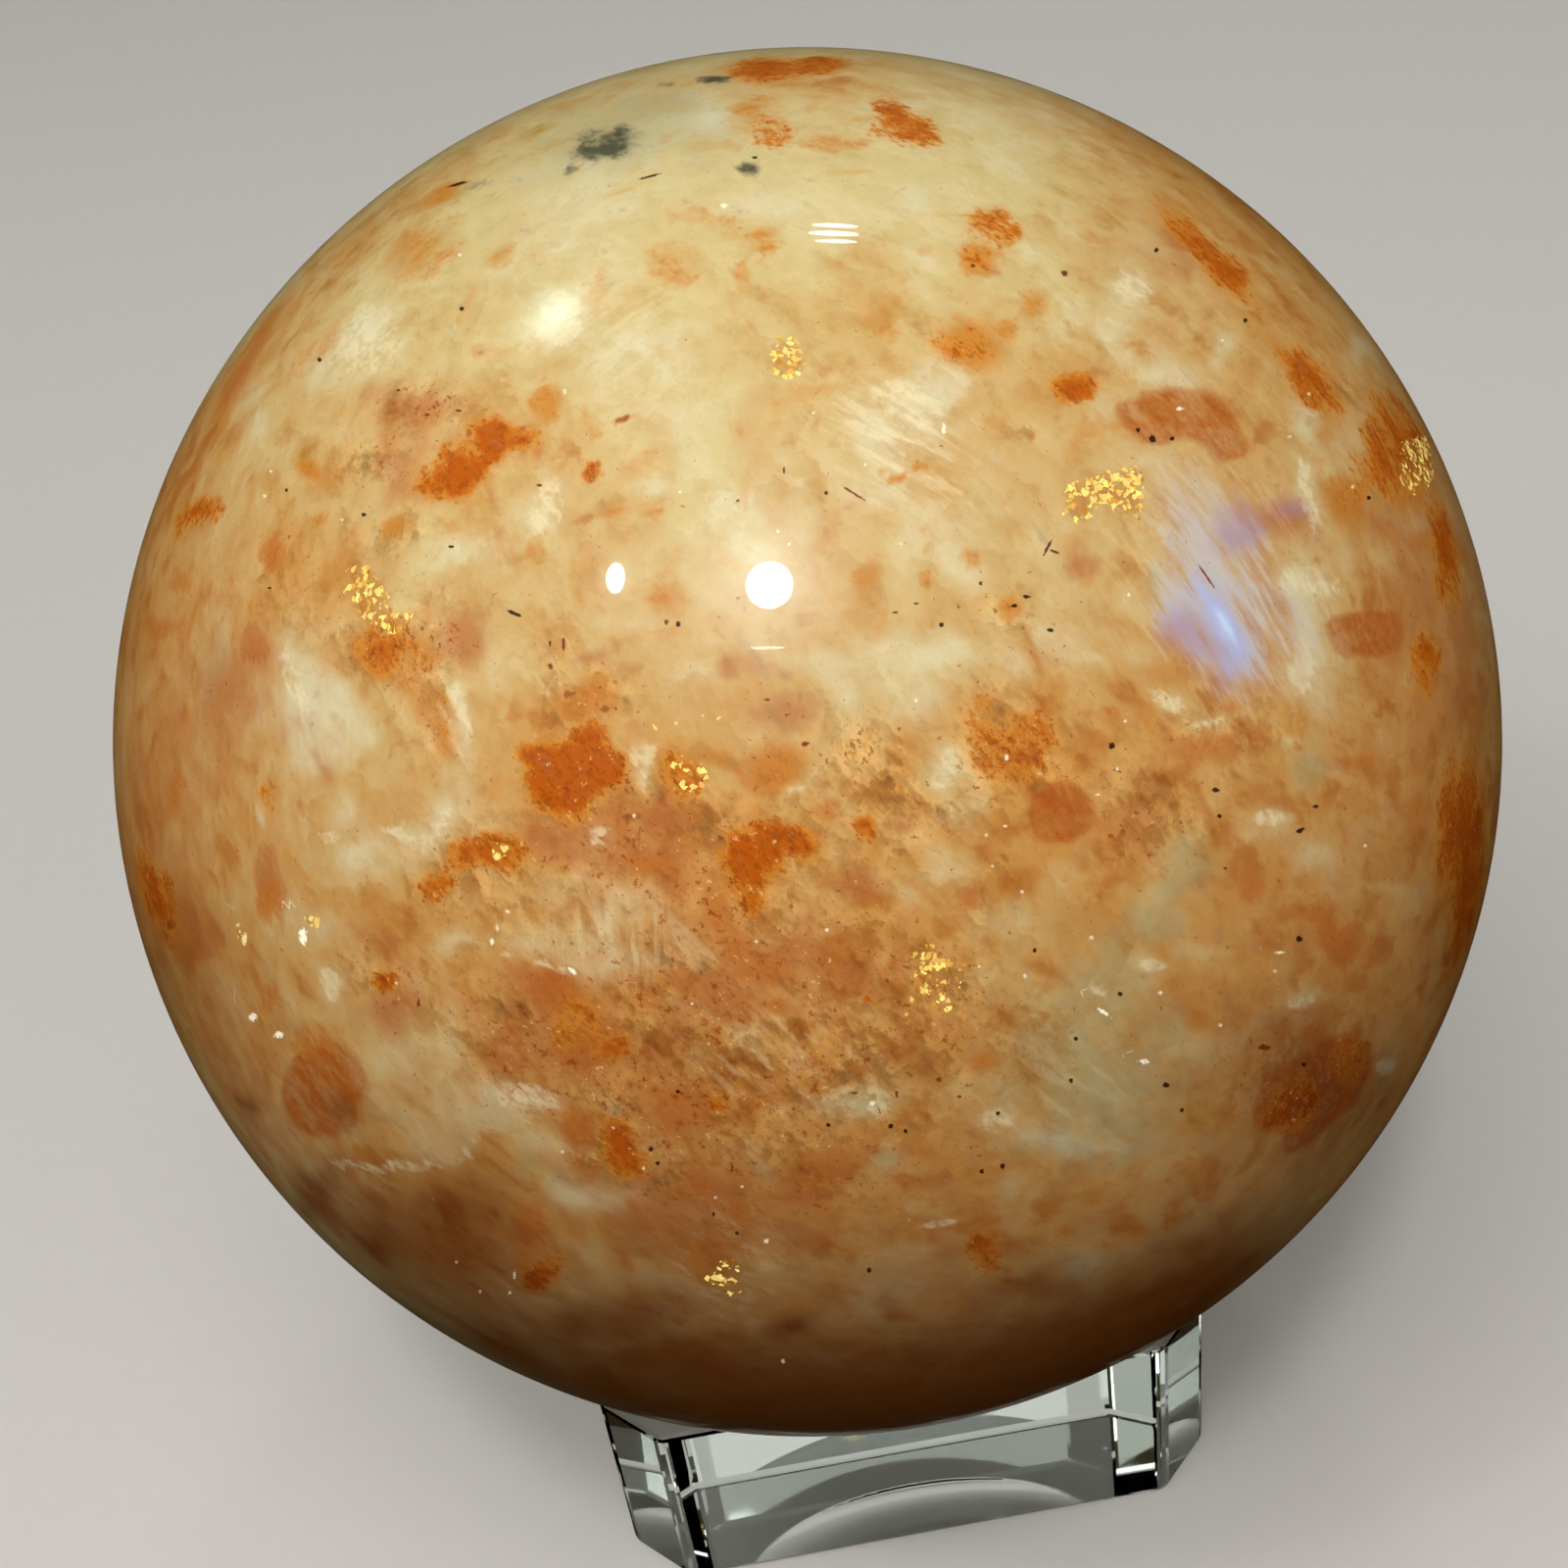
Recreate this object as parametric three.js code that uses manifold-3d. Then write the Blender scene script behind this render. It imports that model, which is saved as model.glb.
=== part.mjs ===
// Polished feldspar sphere resting in the dished seat of a small clear block stand.
// Millimetres, +Z up. The origin is on the surface that the stand rests on, under its middle.

import * as THREE from 'three';
import { mergeVertices } from 'three/addons/utils/BufferGeometryUtils.js';
import Module from 'manifold-3d';

// Driving dimensions
const SPHERE_DIAMETER = 60;
const STAND_WIDTH = 30;
const STAND_HEIGHT = 12.2;
const CORNER_CUT = 2.7; // width of each cut corner, measured along the stand's sides
const EDGE_BREAK = 0.4; // small chamfer round the top and bottom faces of the stand
const SPHERE_CENTRE_HEIGHT = 40.5;
const SEAT_GAP = 0.3; // clear space between the sphere and its seat

// How finely the round surfaces are faceted
const SPHERE_DIVISIONS = 15; // each edge of the icosahedron is cut into this many, plus one
const SEAT_SIDES = 48;
const SEAT_RINGS = 72;

const sphereRadius = SPHERE_DIAMETER / 2;
const seatRadius = sphereRadius + SEAT_GAP;

const stone = new THREE.MeshStandardMaterial({
  color: '#d3a079',
  roughness: 0.12,
  metalness: 0,
});
const clear = new THREE.MeshStandardMaterial({
  color: '#e4ebe4',
  roughness: 0.05,
  metalness: 0,
  transparent: true,
  opacity: 0.35,
});

const wasm = await Module();
wasm.setup();

// A closed solid made from a closed three.js geometry
function toSolid(geometry) {
  const bare = geometry.clone();
  bare.deleteAttribute('normal');
  bare.deleteAttribute('uv');
  const merged = mergeVertices(bare);
  const mesh = new wasm.Mesh({
    numProp: 3,
    vertProperties: new Float32Array(merged.attributes.position.array),
    triVerts: new Uint32Array(merged.index.array),
  });
  return new wasm.Manifold(mesh);
}

// The three.js geometry of a closed solid
function toGeometry(solid) {
  const mesh = solid.getMesh();
  const geometry = new THREE.BufferGeometry();
  geometry.setAttribute('position', new THREE.BufferAttribute(mesh.vertProperties, 3));
  geometry.setIndex(new THREE.BufferAttribute(mesh.triVerts, 1));
  geometry.computeVertexNormals();
  return geometry;
}

// The square outline with its four corners cut off
function standOutline() {
  const half = STAND_WIDTH / 2;
  const side = half - CORNER_CUT;
  const outline = new THREE.Shape();
  outline.moveTo(-side, -half);
  for (let quarter = 0; quarter < 4; quarter += 1) {
    const turn = (quarter * Math.PI) / 2;
    const ends = [new THREE.Vector2(side, -half), new THREE.Vector2(half, -side)];
    for (const end of ends) {
      end.rotateAround(new THREE.Vector2(0, 0), turn);
      outline.lineTo(end.x, end.y);
    }
  }
  return outline;
}

// The clear block, with the sphere's seat scooped out of its top
function standGeometry() {
  const block = new THREE.ExtrudeGeometry(standOutline(), {
    depth: STAND_HEIGHT - 2 * EDGE_BREAK,
    bevelEnabled: true,
    bevelSegments: 1,
    bevelThickness: EDGE_BREAK,
    bevelSize: EDGE_BREAK,
    bevelOffset: -EDGE_BREAK,
  });
  block.translate(0, 0, EDGE_BREAK);
  const scoop = new THREE.SphereGeometry(seatRadius, SEAT_SIDES, SEAT_RINGS);
  scoop.rotateX(Math.PI / 2);
  scoop.translate(0, 0, SPHERE_CENTRE_HEIGHT);
  return toGeometry(toSolid(block).subtract(toSolid(scoop)));
}

const sphere = new THREE.Mesh(
  new THREE.IcosahedronGeometry(sphereRadius, SPHERE_DIVISIONS),
  stone,
);
sphere.name = 'sphere';
sphere.position.z = SPHERE_CENTRE_HEIGHT;

const stand = new THREE.Mesh(standGeometry(), clear);
stand.name = 'stand';

const sunstoneSphere = new THREE.Group();
sunstoneSphere.add(stand, sphere);

export default sunstoneSphere;
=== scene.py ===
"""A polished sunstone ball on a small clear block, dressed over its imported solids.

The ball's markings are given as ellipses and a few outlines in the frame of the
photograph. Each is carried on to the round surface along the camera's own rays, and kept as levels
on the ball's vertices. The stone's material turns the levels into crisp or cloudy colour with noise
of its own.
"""

import math
import random
from typing import NamedTuple

import bmesh
import bpy
import numpy as np
from bpy.props import FloatProperty, FloatVectorProperty, IntProperty, PointerProperty
from mathutils import Matrix, Vector, noise


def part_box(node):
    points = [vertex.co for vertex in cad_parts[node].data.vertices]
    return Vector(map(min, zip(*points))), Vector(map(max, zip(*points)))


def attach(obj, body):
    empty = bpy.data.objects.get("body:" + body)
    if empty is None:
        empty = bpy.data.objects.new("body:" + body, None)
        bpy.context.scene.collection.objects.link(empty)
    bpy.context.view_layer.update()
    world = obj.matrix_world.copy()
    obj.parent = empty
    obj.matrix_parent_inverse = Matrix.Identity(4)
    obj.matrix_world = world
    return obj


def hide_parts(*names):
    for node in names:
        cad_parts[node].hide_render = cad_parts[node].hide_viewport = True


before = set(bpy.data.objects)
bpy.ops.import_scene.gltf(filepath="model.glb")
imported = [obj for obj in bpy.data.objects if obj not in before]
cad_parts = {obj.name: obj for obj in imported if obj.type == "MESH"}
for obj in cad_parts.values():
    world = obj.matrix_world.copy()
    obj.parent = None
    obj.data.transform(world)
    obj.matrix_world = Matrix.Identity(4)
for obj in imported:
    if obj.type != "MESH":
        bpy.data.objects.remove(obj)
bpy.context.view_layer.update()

bl_info = {
    "name": "Sunstone Ball on a Clear Block",
    "version": (1, 0, 0),
    "blender": (4, 5, 0),
    "location": "3D View > Sidebar > Sunstone",
    "description": "Builds a polished sunstone ball, its clear block and a soft studio",
    "category": "Add Mesh",
}

# The ball and the block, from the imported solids, in metres
BALL_LOW, BALL_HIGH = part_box("sphere")
BALL_CENTRE = (BALL_LOW + BALL_HIGH) / 2
BALL_RADIUS = max((v.co - BALL_CENTRE).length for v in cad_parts["sphere"].data.vertices)
BLOCK_LOW, BLOCK_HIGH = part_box("stand")
MM = 0.001

# The photograph's frame and camera, in its pixels and in degrees
PHOTO_SIZE = 1600
FOCAL_PIXELS = 2400  # the lens's focal length
SENSOR_WIDTH = 36.0  # millimetres
OUTLINE_CENTRE = (824, 757)  # the ball's outline in the photograph
OUTLINE_RADIUS = 709
OUTLINE_LIMIT = 0.975  # marks nearer the outline than this share of its radius are drawn in to it
CAMERA_PITCH = 39.9
CAMERA_ROLL = 8.3
CAMERA_TURN = -2.4


class Patch(NamedTuple):
    """A mark in the photograph: its middle, half sizes, strength, and clockwise turn in degrees."""

    x: float
    y: float
    wide: float
    high: float
    strength: float = 1.0
    tilt: float = 0.0


def patches(*rows):
    return tuple(Patch(*row) for row in rows)


# Cloudy changes of the body colour, strongest in the middle
SOFT_PATCHES = {
    # Warm: partly the stone's own peach tone, partly painted shade that darkens the lower half and
    # the right side; thin warm marks also run along the rim
    "warm": patches(
        (780, 1160, 800, 320, 0.9), (840, 920, 300, 130, 0.45), (1500, 860, 300, 460, 0.9),
        (1300, 800, 110, 120, 0.5), (1275, 225, 250, 80, 0.75, 44), (1300, 330, 120, 120, 0.3),
        (1000, 420, 130, 110, 0.35), (905, 325, 100, 80, 0.35), (300, 590, 60, 55, 0.55),
        (110, 800, 120, 450, 0.8), (300, 930, 150, 90, 0.3), (780, 90, 150, 40, 0.5),
        (470, 1265, 100, 60, 0.9), (420, 440, 130, 60, 0.35), (580, 800, 130, 90, 0.3),
        (1060, 840, 120, 90, 0.4), (140, 560, 26, 170, 0.8, 12), (215, 400, 26, 150, 0.8, 35),
        (350, 225, 26, 140, 0.5, 50), (1140, 1190, 160, 90, 0.3, -30),
        (560, 110, 140, 22, 0.4, -20), (900, 62, 170, 22, 0.4, 4),
    ),
    "tan": patches(
        (520, 150, 120, 40, 0.4, -15), (350, 250, 60, 80, 0.5, 45), (640, 180, 60, 20, 0.3),
        (445, 198, 45, 16, 0.6, -10), (415, 256, 35, 20, 0.6), (450, 248, 28, 18, 0.5),
        (352, 300, 50, 13, 0.6, -48), (290, 356, 40, 18, 0.5, -55), (455, 335, 20, 32, 0.6),
        (490, 400, 30, 18, 0.4), (562, 415, 34, 28, 0.7), (600, 465, 45, 24, 0.6),
        (630, 516, 46, 16, 0.7), (543, 568, 15, 22, 0.6), (310, 468, 28, 38, 0.5),
        (395, 540, 60, 28, 0.4), (326, 528, 20, 24, 0.5), (690, 268, 30, 24, 0.4),
        (760, 250, 26, 36, 0.5), (870, 276, 46, 24, 0.6), (902, 332, 28, 22, 0.7),
        (825, 322, 30, 22, 0.4), (812, 382, 26, 14, 0.5), (834, 430, 28, 26, 0.6),
        (905, 350, 60, 50, 0.35), (300, 590, 60, 50, 0.6), (915, 385, 20, 16, 0.5),
        (1048, 318, 22, 22, 0.5), (1080, 350, 22, 18, 0.3), (1073, 192, 38, 11, 0.5),
        (990, 420, 24, 18, 0.5), (1015, 455, 12, 10, 0.6), (1040, 482, 28, 36, 0.5),
        (1022, 540, 14, 20, 0.4), (870, 560, 40, 28, 0.4), (875, 585, 26, 14, 0.5),
        (1135, 228, 30, 28, 0.5), (1127, 158, 26, 7, 0.6, 40), (1045, 366, 30, 18, 0.5),
        (1228, 338, 22, 24, 0.6), (1275, 325, 14, 20, 0.5), (1280, 375, 18, 24, 0.6),
        (1256, 408, 30, 14, 0.6), (590, 606, 22, 34, 0.6), (360, 772, 48, 38, 0.6),
        (408, 812, 38, 30, 0.6), (395, 845, 18, 10, 0.5), (1030, 626, 24, 18, 0.5),
        (884, 772, 28, 46, 0.4), (1222, 862, 18, 30, 0.7), (1205, 825, 24, 24, 0.5),
        (1128, 710, 20, 18, 0.5), (990, 1200, 14, 18, 0.7), (931, 1246, 14, 8, 0.6),
        (974, 1257, 14, 8, 0.6), (830, 1260, 16, 12, 0.6), (866, 1264, 20, 12, 0.4),
        (744, 1366, 40, 14, 0.5), (852, 1368, 40, 14, 0.5), (773, 1196, 16, 16, 0.6),
        (1097, 1206, 10, 10, 0.7), (1061, 1235, 16, 12, 0.5), (1217, 1148, 11, 9, 0.8),
        (1230, 1125, 18, 11, 0.5), (1268, 1090, 14, 8, 0.7), (1150, 1320, 55, 20, 0.6),
        (1150, 700, 60, 24, 0.3), (680, 606, 25, 20, 0.3),
    ),
    "blush": patches(
        (424, 432, 45, 34, 0.5), (381, 396, 30, 14, 0.3), (225, 700, 34, 56, 0.6),
        (252, 716, 13, 24, 0.6), (476, 642, 30, 24, 0.6), (331, 786, 14, 10, 0.6),
        (370, 955, 40, 24, 0.5), (405, 965, 14, 18, 0.6), (594, 923, 24, 14, 0.4),
        (625, 815, 20, 20, 0.6), (643, 746, 20, 14, 0.4), (790, 739, 34, 22, 0.5),
        (819, 725, 24, 20, 0.4), (830, 970, 60, 22, 0.5), (875, 910, 30, 18, 0.5),
        (1010, 870, 24, 20, 0.5), (1065, 672, 18, 16, 0.4), (1165, 845, 30, 38, 0.5),
        (1207, 276, 22, 14, 0.5), (402, 1020, 36, 28, 0.6), (530, 1005, 28, 22, 0.5),
        (373, 1185, 40, 10, 0.5), (700, 1240, 60, 40, 0.5), (1412, 532, 16, 18, 0.5),
        (1286, 959, 18, 20, 0.4), (1430, 610, 30, 60, 0.4), (140, 760, 60, 300, 0.3),
        (1450, 700, 110, 300, 0.3), (860, 1240, 420, 170, 0.3), (640, 860, 160, 60, 0.4),
        (1330, 1050, 120, 120, 0.3), (1160, 260, 60, 60, 0.3, 44), (1500, 560, 40, 280, 0.5, -8),
        (120, 900, 40, 260, 0.5, 8), (560, 1060, 90, 60, 0.6), (760, 960, 110, 60, 0.4),
        (700, 1240, 120, 60, 0.4), (240, 1130, 40, 120, 0.6, -20), (860, 1010, 120, 50, 0.35),
        (340, 1230, 40, 80, 0.5, -40), (267, 668, 9, 12, 0.8), (441, 415, 50, 14, 0.7),
        (406, 478, 25, 35, 0.7), (462, 660, 30, 25, 0.7), (1201, 244, 25, 15, 0.8, 44),
        (782, 674, 30, 14, 0.5), (739, 672, 14, 14), (808, 690, 10, 7, 0.8),
        (606, 678, 20, 8, 0.8), (1106, 570, 20, 20, 0.8), (1300, 545, 40, 40, 0.4),
        (1316, 528, 24, 15, 0.8, 30), (1296, 615, 14, 34, 0.5, -30), (561, 853, 50, 25, 0.8),
        (637, 869, 40, 20, 0.9), (813, 722, 45, 14, 0.7), (872, 905, 25, 20, 0.7),
        (986, 910, 20, 18, 0.7), (923, 842, 20, 12, 0.9), (953, 819, 10, 8, 0.9),
        (675, 829, 22, 20, 0.9), (395, 1032, 35, 22, 0.6), (578, 1012, 35, 30, 0.8),
        (599, 1042, 25, 20, 0.7), (692, 1151, 30, 20, 0.6), (736, 1010, 60, 35, 0.6),
    ),
    "grey": patches(
        (1110, 1060, 110, 130, 0.6), (680, 120, 110, 45, 0.8), (600, 150, 90, 40, 0.9, -15),
        (1337, 788, 28, 30, 0.8), (1217, 885, 30, 30, 0.8), (1189, 910, 14, 14, 0.8),
        (1179, 946, 35, 25, 0.8), (1138, 984, 25, 20, 0.8), (1124, 1115, 90, 80, 0.7),
        (597, 1271, 20, 10, 0.8), (564, 1205, 15, 10, 0.8), (539, 1189, 15, 10, 0.8),
        (911, 1182, 18, 12, 0.8), (779, 1197, 15, 18, 0.8), (1190, 539, 8, 16, 0.9, -25),
        (1226, 578, 12, 8, 0.8), (1167, 588, 9, 20, 0.9), (1199, 1059, 5, 14, 0.8),
        (902, 333, 20, 16, 0.5), (395, 1032, 35, 22, 0.4), (225, 690, 34, 56, 0.6),
    ),
    # Brown: the stone's brown spots, and painted shade in bands along the bottom and the right side
    # of the ball
    "brown_and_shade": patches(
        (850, 1390, 700, 230, 0.46), (700, 1072, 60, 34, 0.25), (252, 1125, 12, 16, 0.5),
        (320, 1220, 26, 32, 0.5, 30), (382, 1275, 32, 16, 0.6, 40), (520, 1375, 26, 11, 0.6, 25),
        (590, 1352, 26, 16, 0.6, 15), (640, 1347, 40, 24, 0.6), (654, 1386, 20, 12, 0.7),
        (622, 1415, 30, 10, 0.8, 15), (686, 1386, 24, 16, 0.5), (1225, 1277, 60, 30, 0.3, -30),
        (1410, 1113, 24, 60, 0.4, 15), (1345, 1185, 30, 70, 0.35, 40),
        (1090, 1365, 70, 24, 0.3, -15), (470, 1260, 50, 60, 0.5), (400, 1240, 60, 40, 0.4),
        (824, 1420, 350, 60, 0.7), (802, 1353, 16, 14, 0.8), (717, 1393, 30, 16, 0.6),
        (681, 86, 9, 3, 0.8), (943, 974, 12, 8, 0.4), (1349, 1100, 60, 70, 0.5),
        (352, 1134, 36, 20, 0.35, 20), (190, 940, 50, 60, 0.15), (1062, 1311, 52, 16, 0.4),
        (824, 1462, 420, 36, 0.8), (480, 1372, 170, 36, 0.3, 32), (1150, 1392, 180, 36, 0.85, -27),
        (330, 1230, 120, 30, 0.1, 46), (1205, 1382, 120, 26, 0.9, -31),
        (1262, 1185, 100, 80, 0.17, -35), (1260, 1070, 70, 60, 0.15),
        (1490, 980, 60, 140, 0.35, 20), (1510, 740, 30, 220, 0.3), (170, 1000, 40, 100, 0.3, -20),
    ),
    "white": patches(
        (590, 190, 90, 75, 0.4), (375, 345, 45, 45, 0.8), (330, 385, 25, 18, 0.5),
        (258, 420, 16, 38, 0.6), (555, 520, 30, 42, 0.7), (480, 572, 45, 20, 0.6),
        (570, 490, 28, 18, 0.4), (715, 115, 32, 24, 0.6), (690, 172, 60, 20, 0.4),
        (780, 206, 40, 15, 0.6), (940, 203, 38, 16, 0.6), (650, 365, 90, 70, 0.35),
        (720, 420, 80, 45, 0.3), (940, 408, 52, 32, 0.9), (906, 504, 28, 16, 0.6),
        (1000, 92, 80, 22, 0.4), (1012, 145, 60, 50, 0.35), (938, 280, 22, 35, 0.6),
        (1060, 272, 24, 18, 0.5), (1086, 328, 24, 18, 0.6), (1155, 292, 25, 28, 0.7),
        (1130, 350, 28, 18, 0.5), (1250, 358, 14, 26, 0.7), (1192, 374, 32, 20, 0.6),
        (1130, 424, 18, 20, 0.4), (1175, 480, 44, 30, 0.5, 20), (1335, 505, 16, 45, 0.7, -8),
        (1365, 455, 34, 20, 0.4), (1374, 575, 12, 25, 0.5, -10), (300, 700, 18, 46, 0.5),
        (335, 738, 36, 28, 0.3), (294, 668, 12, 22, 0.7), (495, 680, 32, 30, 0.4),
        (464, 735, 12, 26, 0.7, -15), (468, 790, 14, 26, 0.5), (448, 842, 32, 12, 0.7, -45),
        (362, 878, 32, 20, 0.8), (300, 740, 56, 100, 0.35, -12), (400, 800, 80, 60, 0.3, 20),
        (330, 850, 90, 40, 0.3, 20), (353, 820, 10, 18, 0.5), (198, 798, 10, 12, 0.6),
        (266, 837, 8, 6, 0.7), (246, 917, 12, 14, 0.5), (335, 945, 18, 20, 0.6),
        (472, 964, 20, 15, 0.6), (560, 908, 42, 16, 0.5), (530, 963, 30, 22, 0.5),
        (337, 1012, 14, 24, 0.7), (625, 640, 36, 14, 0.5), (860, 665, 70, 30, 0.4),
        (958, 667, 60, 26, 0.7), (985, 590, 22, 11, 0.5), (925, 562, 18, 18, 0.4),
        (873, 712, 40, 30, 0.5), (942, 716, 24, 20, 0.6), (967, 778, 20, 28, 0.8),
        (657, 782, 12, 34, 0.7), (595, 850, 18, 12, 0.6), (855, 860, 16, 30, 0.4),
        (988, 822, 25, 22, 0.6), (965, 878, 38, 28, 0.6), (932, 912, 30, 26, 0.5),
        (650, 925, 60, 24, 0.5), (632, 984, 50, 20, 0.7), (1025, 948, 34, 28, 0.4),
        (820, 935, 30, 22, 0.3), (1036, 680, 18, 11, 0.6), (1115, 682, 18, 10, 0.6),
        (1165, 666, 20, 11, 0.5), (1184, 712, 25, 16, 0.7), (1236, 732, 34, 18, 0.7),
        (1345, 705, 26, 34, 0.6), (1310, 762, 10, 8, 0.7), (1282, 850, 42, 25, 0.6),
        (1178, 917, 12, 15, 0.5, 30), (1235, 965, 26, 20, 0.5), (1437, 920, 18, 24, 0.4),
        (1375, 898, 40, 26, 0.35), (1402, 850, 28, 20, 0.35), (1327, 1020, 20, 14, 0.8),
        (1224, 1060, 18, 13, 0.5), (385, 1080, 20, 22, 0.5), (425, 1075, 36, 34, 0.5),
        (430, 1118, 34, 42, 0.5), (450, 1166, 28, 22, 0.5), (500, 1120, 45, 30, 0.5),
        (545, 1138, 36, 24, 0.4), (560, 1172, 40, 16, 0.4), (592, 1225, 42, 18, 0.6),
        (622, 1127, 12, 8, 0.8), (762, 1062, 18, 20, 0.4), (866, 1126, 42, 14, 0.7),
        (762, 1170, 24, 12, 0.4), (785, 1266, 22, 12, 0.6), (1020, 1142, 28, 20, 0.7),
        (1070, 1160, 38, 16, 0.6), (1032, 1208, 16, 12, 0.5), (940, 1280, 40, 16, 0.35),
        (890, 1325, 60, 18, 0.35), (1108, 1297, 18, 24, 0.6), (1198, 1295, 20, 12, 0.4),
        # The mark at 566, 323 is partly a painted highlight, a milky spot where a soft lamp shows
        (1150, 1168, 44, 10, 0.4), (566, 323, 34, 30, 0.9), (600, 210, 60, 50, 0.6),
        (672, 491, 12, 8, 0.9), (655, 496, 14, 6, 0.9), (1332, 431, 15, 20, 0.9),
        (1407, 341, 15, 15, 0.6), (1332, 596, 35, 25, 0.7), (1329, 678, 15, 30, 0.8),
        (823, 803, 18, 8, 0.9, -30), (461, 713, 9, 22, 0.9, -20), (1415, 1089, 10, 8, 0.9),
        (881, 1128, 22, 8, 0.5), (1301, 836, 16, 10, 0.8), (1179, 990, 16, 8, 0.8),
        (1344, 875, 18, 14, 0.7), (615, 1220, 60, 15, 0.7), (900, 440, 50, 45, 0.6),
        (620, 960, 70, 30, 0.5), (300, 940, 40, 40, 0.4), (760, 520, 70, 60, 0.5),
        (940, 690, 40, 30, 0.5), (1120, 420, 40, 30, 0.4), (960, 560, 70, 50, 0.45),
        (1060, 600, 60, 40, 0.4), (700, 700, 40, 30, 0.5), (1090, 660, 50, 30, 0.4),
        (1338, 630, 20, 60, 0.8, -4), (1000, 500, 90, 60, 0.3),
    ),
    # Blue, violet and veil: the stone's flash, painted in as a sheen, with a faint painted glow at
    # its blue core
    "blue": patches(
        (1254, 651, 36, 13, 1, 62), (1222, 603, 34, 16, 0.5, 50), (1248, 684, 16, 12, 0.45, 50),
        (1195, 618, 20, 15, 0.3, 60), (1246, 600, 50, 12, 0.25, 66),
    ),
    "violet_sheen": patches(
        (1230, 662, 50, 26, 0.7, 54), (1266, 537, 30, 30, 0.9, 20), (1322, 520, 20, 12, 0.7, 30),
        (1200, 640, 24, 20, 0.6, 60), (1282, 650, 16, 8, 0.4, 60), (1226, 585, 16, 6, 0.6, 50),
        (1190, 542, 8, 14, 0.5, -20),
    ),
    "fleck": patches(
        (600, 715, 44, 24), (640, 850, 70, 40), (685, 870, 70, 30), (884, 780, 40, 50),
        (940, 830, 50, 30), (430, 412, 54, 22), (380, 470, 36, 20), (400, 650, 54, 34),
        (750, 1000, 70, 60), (700, 1060, 60, 44), (1240, 745, 60, 30, 0.6),
        (1180, 830, 50, 50, 0.7), (1035, 625, 40, 34, 0.7), (960, 1010, 50, 44),
        (870, 1090, 70, 40, 0.7), (470, 890, 50, 40, 0.8), (520, 1060, 70, 40, 0.8),
        (640, 1100, 60, 70, 0.7), (425, 680, 40, 60, 0.9), (450, 750, 24, 30, 0.8),
        (1330, 1110, 60, 60, 0.7), (410, 545, 60, 20, 0.6), (1040, 440, 20, 16, 0.9),
        (1080, 800, 50, 24, 0.7), (790, 1130, 60, 40, 0.5), (700, 1180, 90, 50, 0.5),
        (1030, 750, 50, 44), (1030, 750, 44, 36, 0.8), (390, 1000, 40, 30, 0.7),
        (560, 665, 20, 30, 0.6), (840, 1200, 160, 60, 0.35), (1000, 1060, 110, 60, 0.4),
        (300, 600, 60, 60, 0.3), (720, 930, 300, 170, 0.4), (720, 1120, 200, 90, 0.4),
        (986, 348, 36, 26, 0.9),
    ),
    # The veil is the paler haze of the painted sheen
    "veil_sheen": patches(
        (1245, 610, 92, 38, 0.85, 64), (1195, 618, 30, 24, 0.9, 60), (1222, 600, 44, 26, 0.8, 50),
        (1262, 650, 50, 18, 0.6, 62), (1235, 548, 32, 26, 0.7, 60), (1320, 630, 70, 28, 0.4, 62),
        (1225, 505, 60, 36, 0.25, 40), (1236, 664, 40, 26, 0.6, 54),
    ),
    "fibre": patches(
        (920, 450, 75, 50, 1, 30), (620, 965, 100, 40, 0.5), (485, 465, 60, 40, 0.3),
        (1255, 600, 110, 80, 1, 57), (780, 1090, 90, 60, 0.4), (1100, 1110, 60, 60, 0.3, 40),
        (565, 665, 40, 40, 0.5), (740, 1300, 50, 50, 0.5), (640, 350, 60, 50, 0.4, -35),
    ),
}

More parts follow.
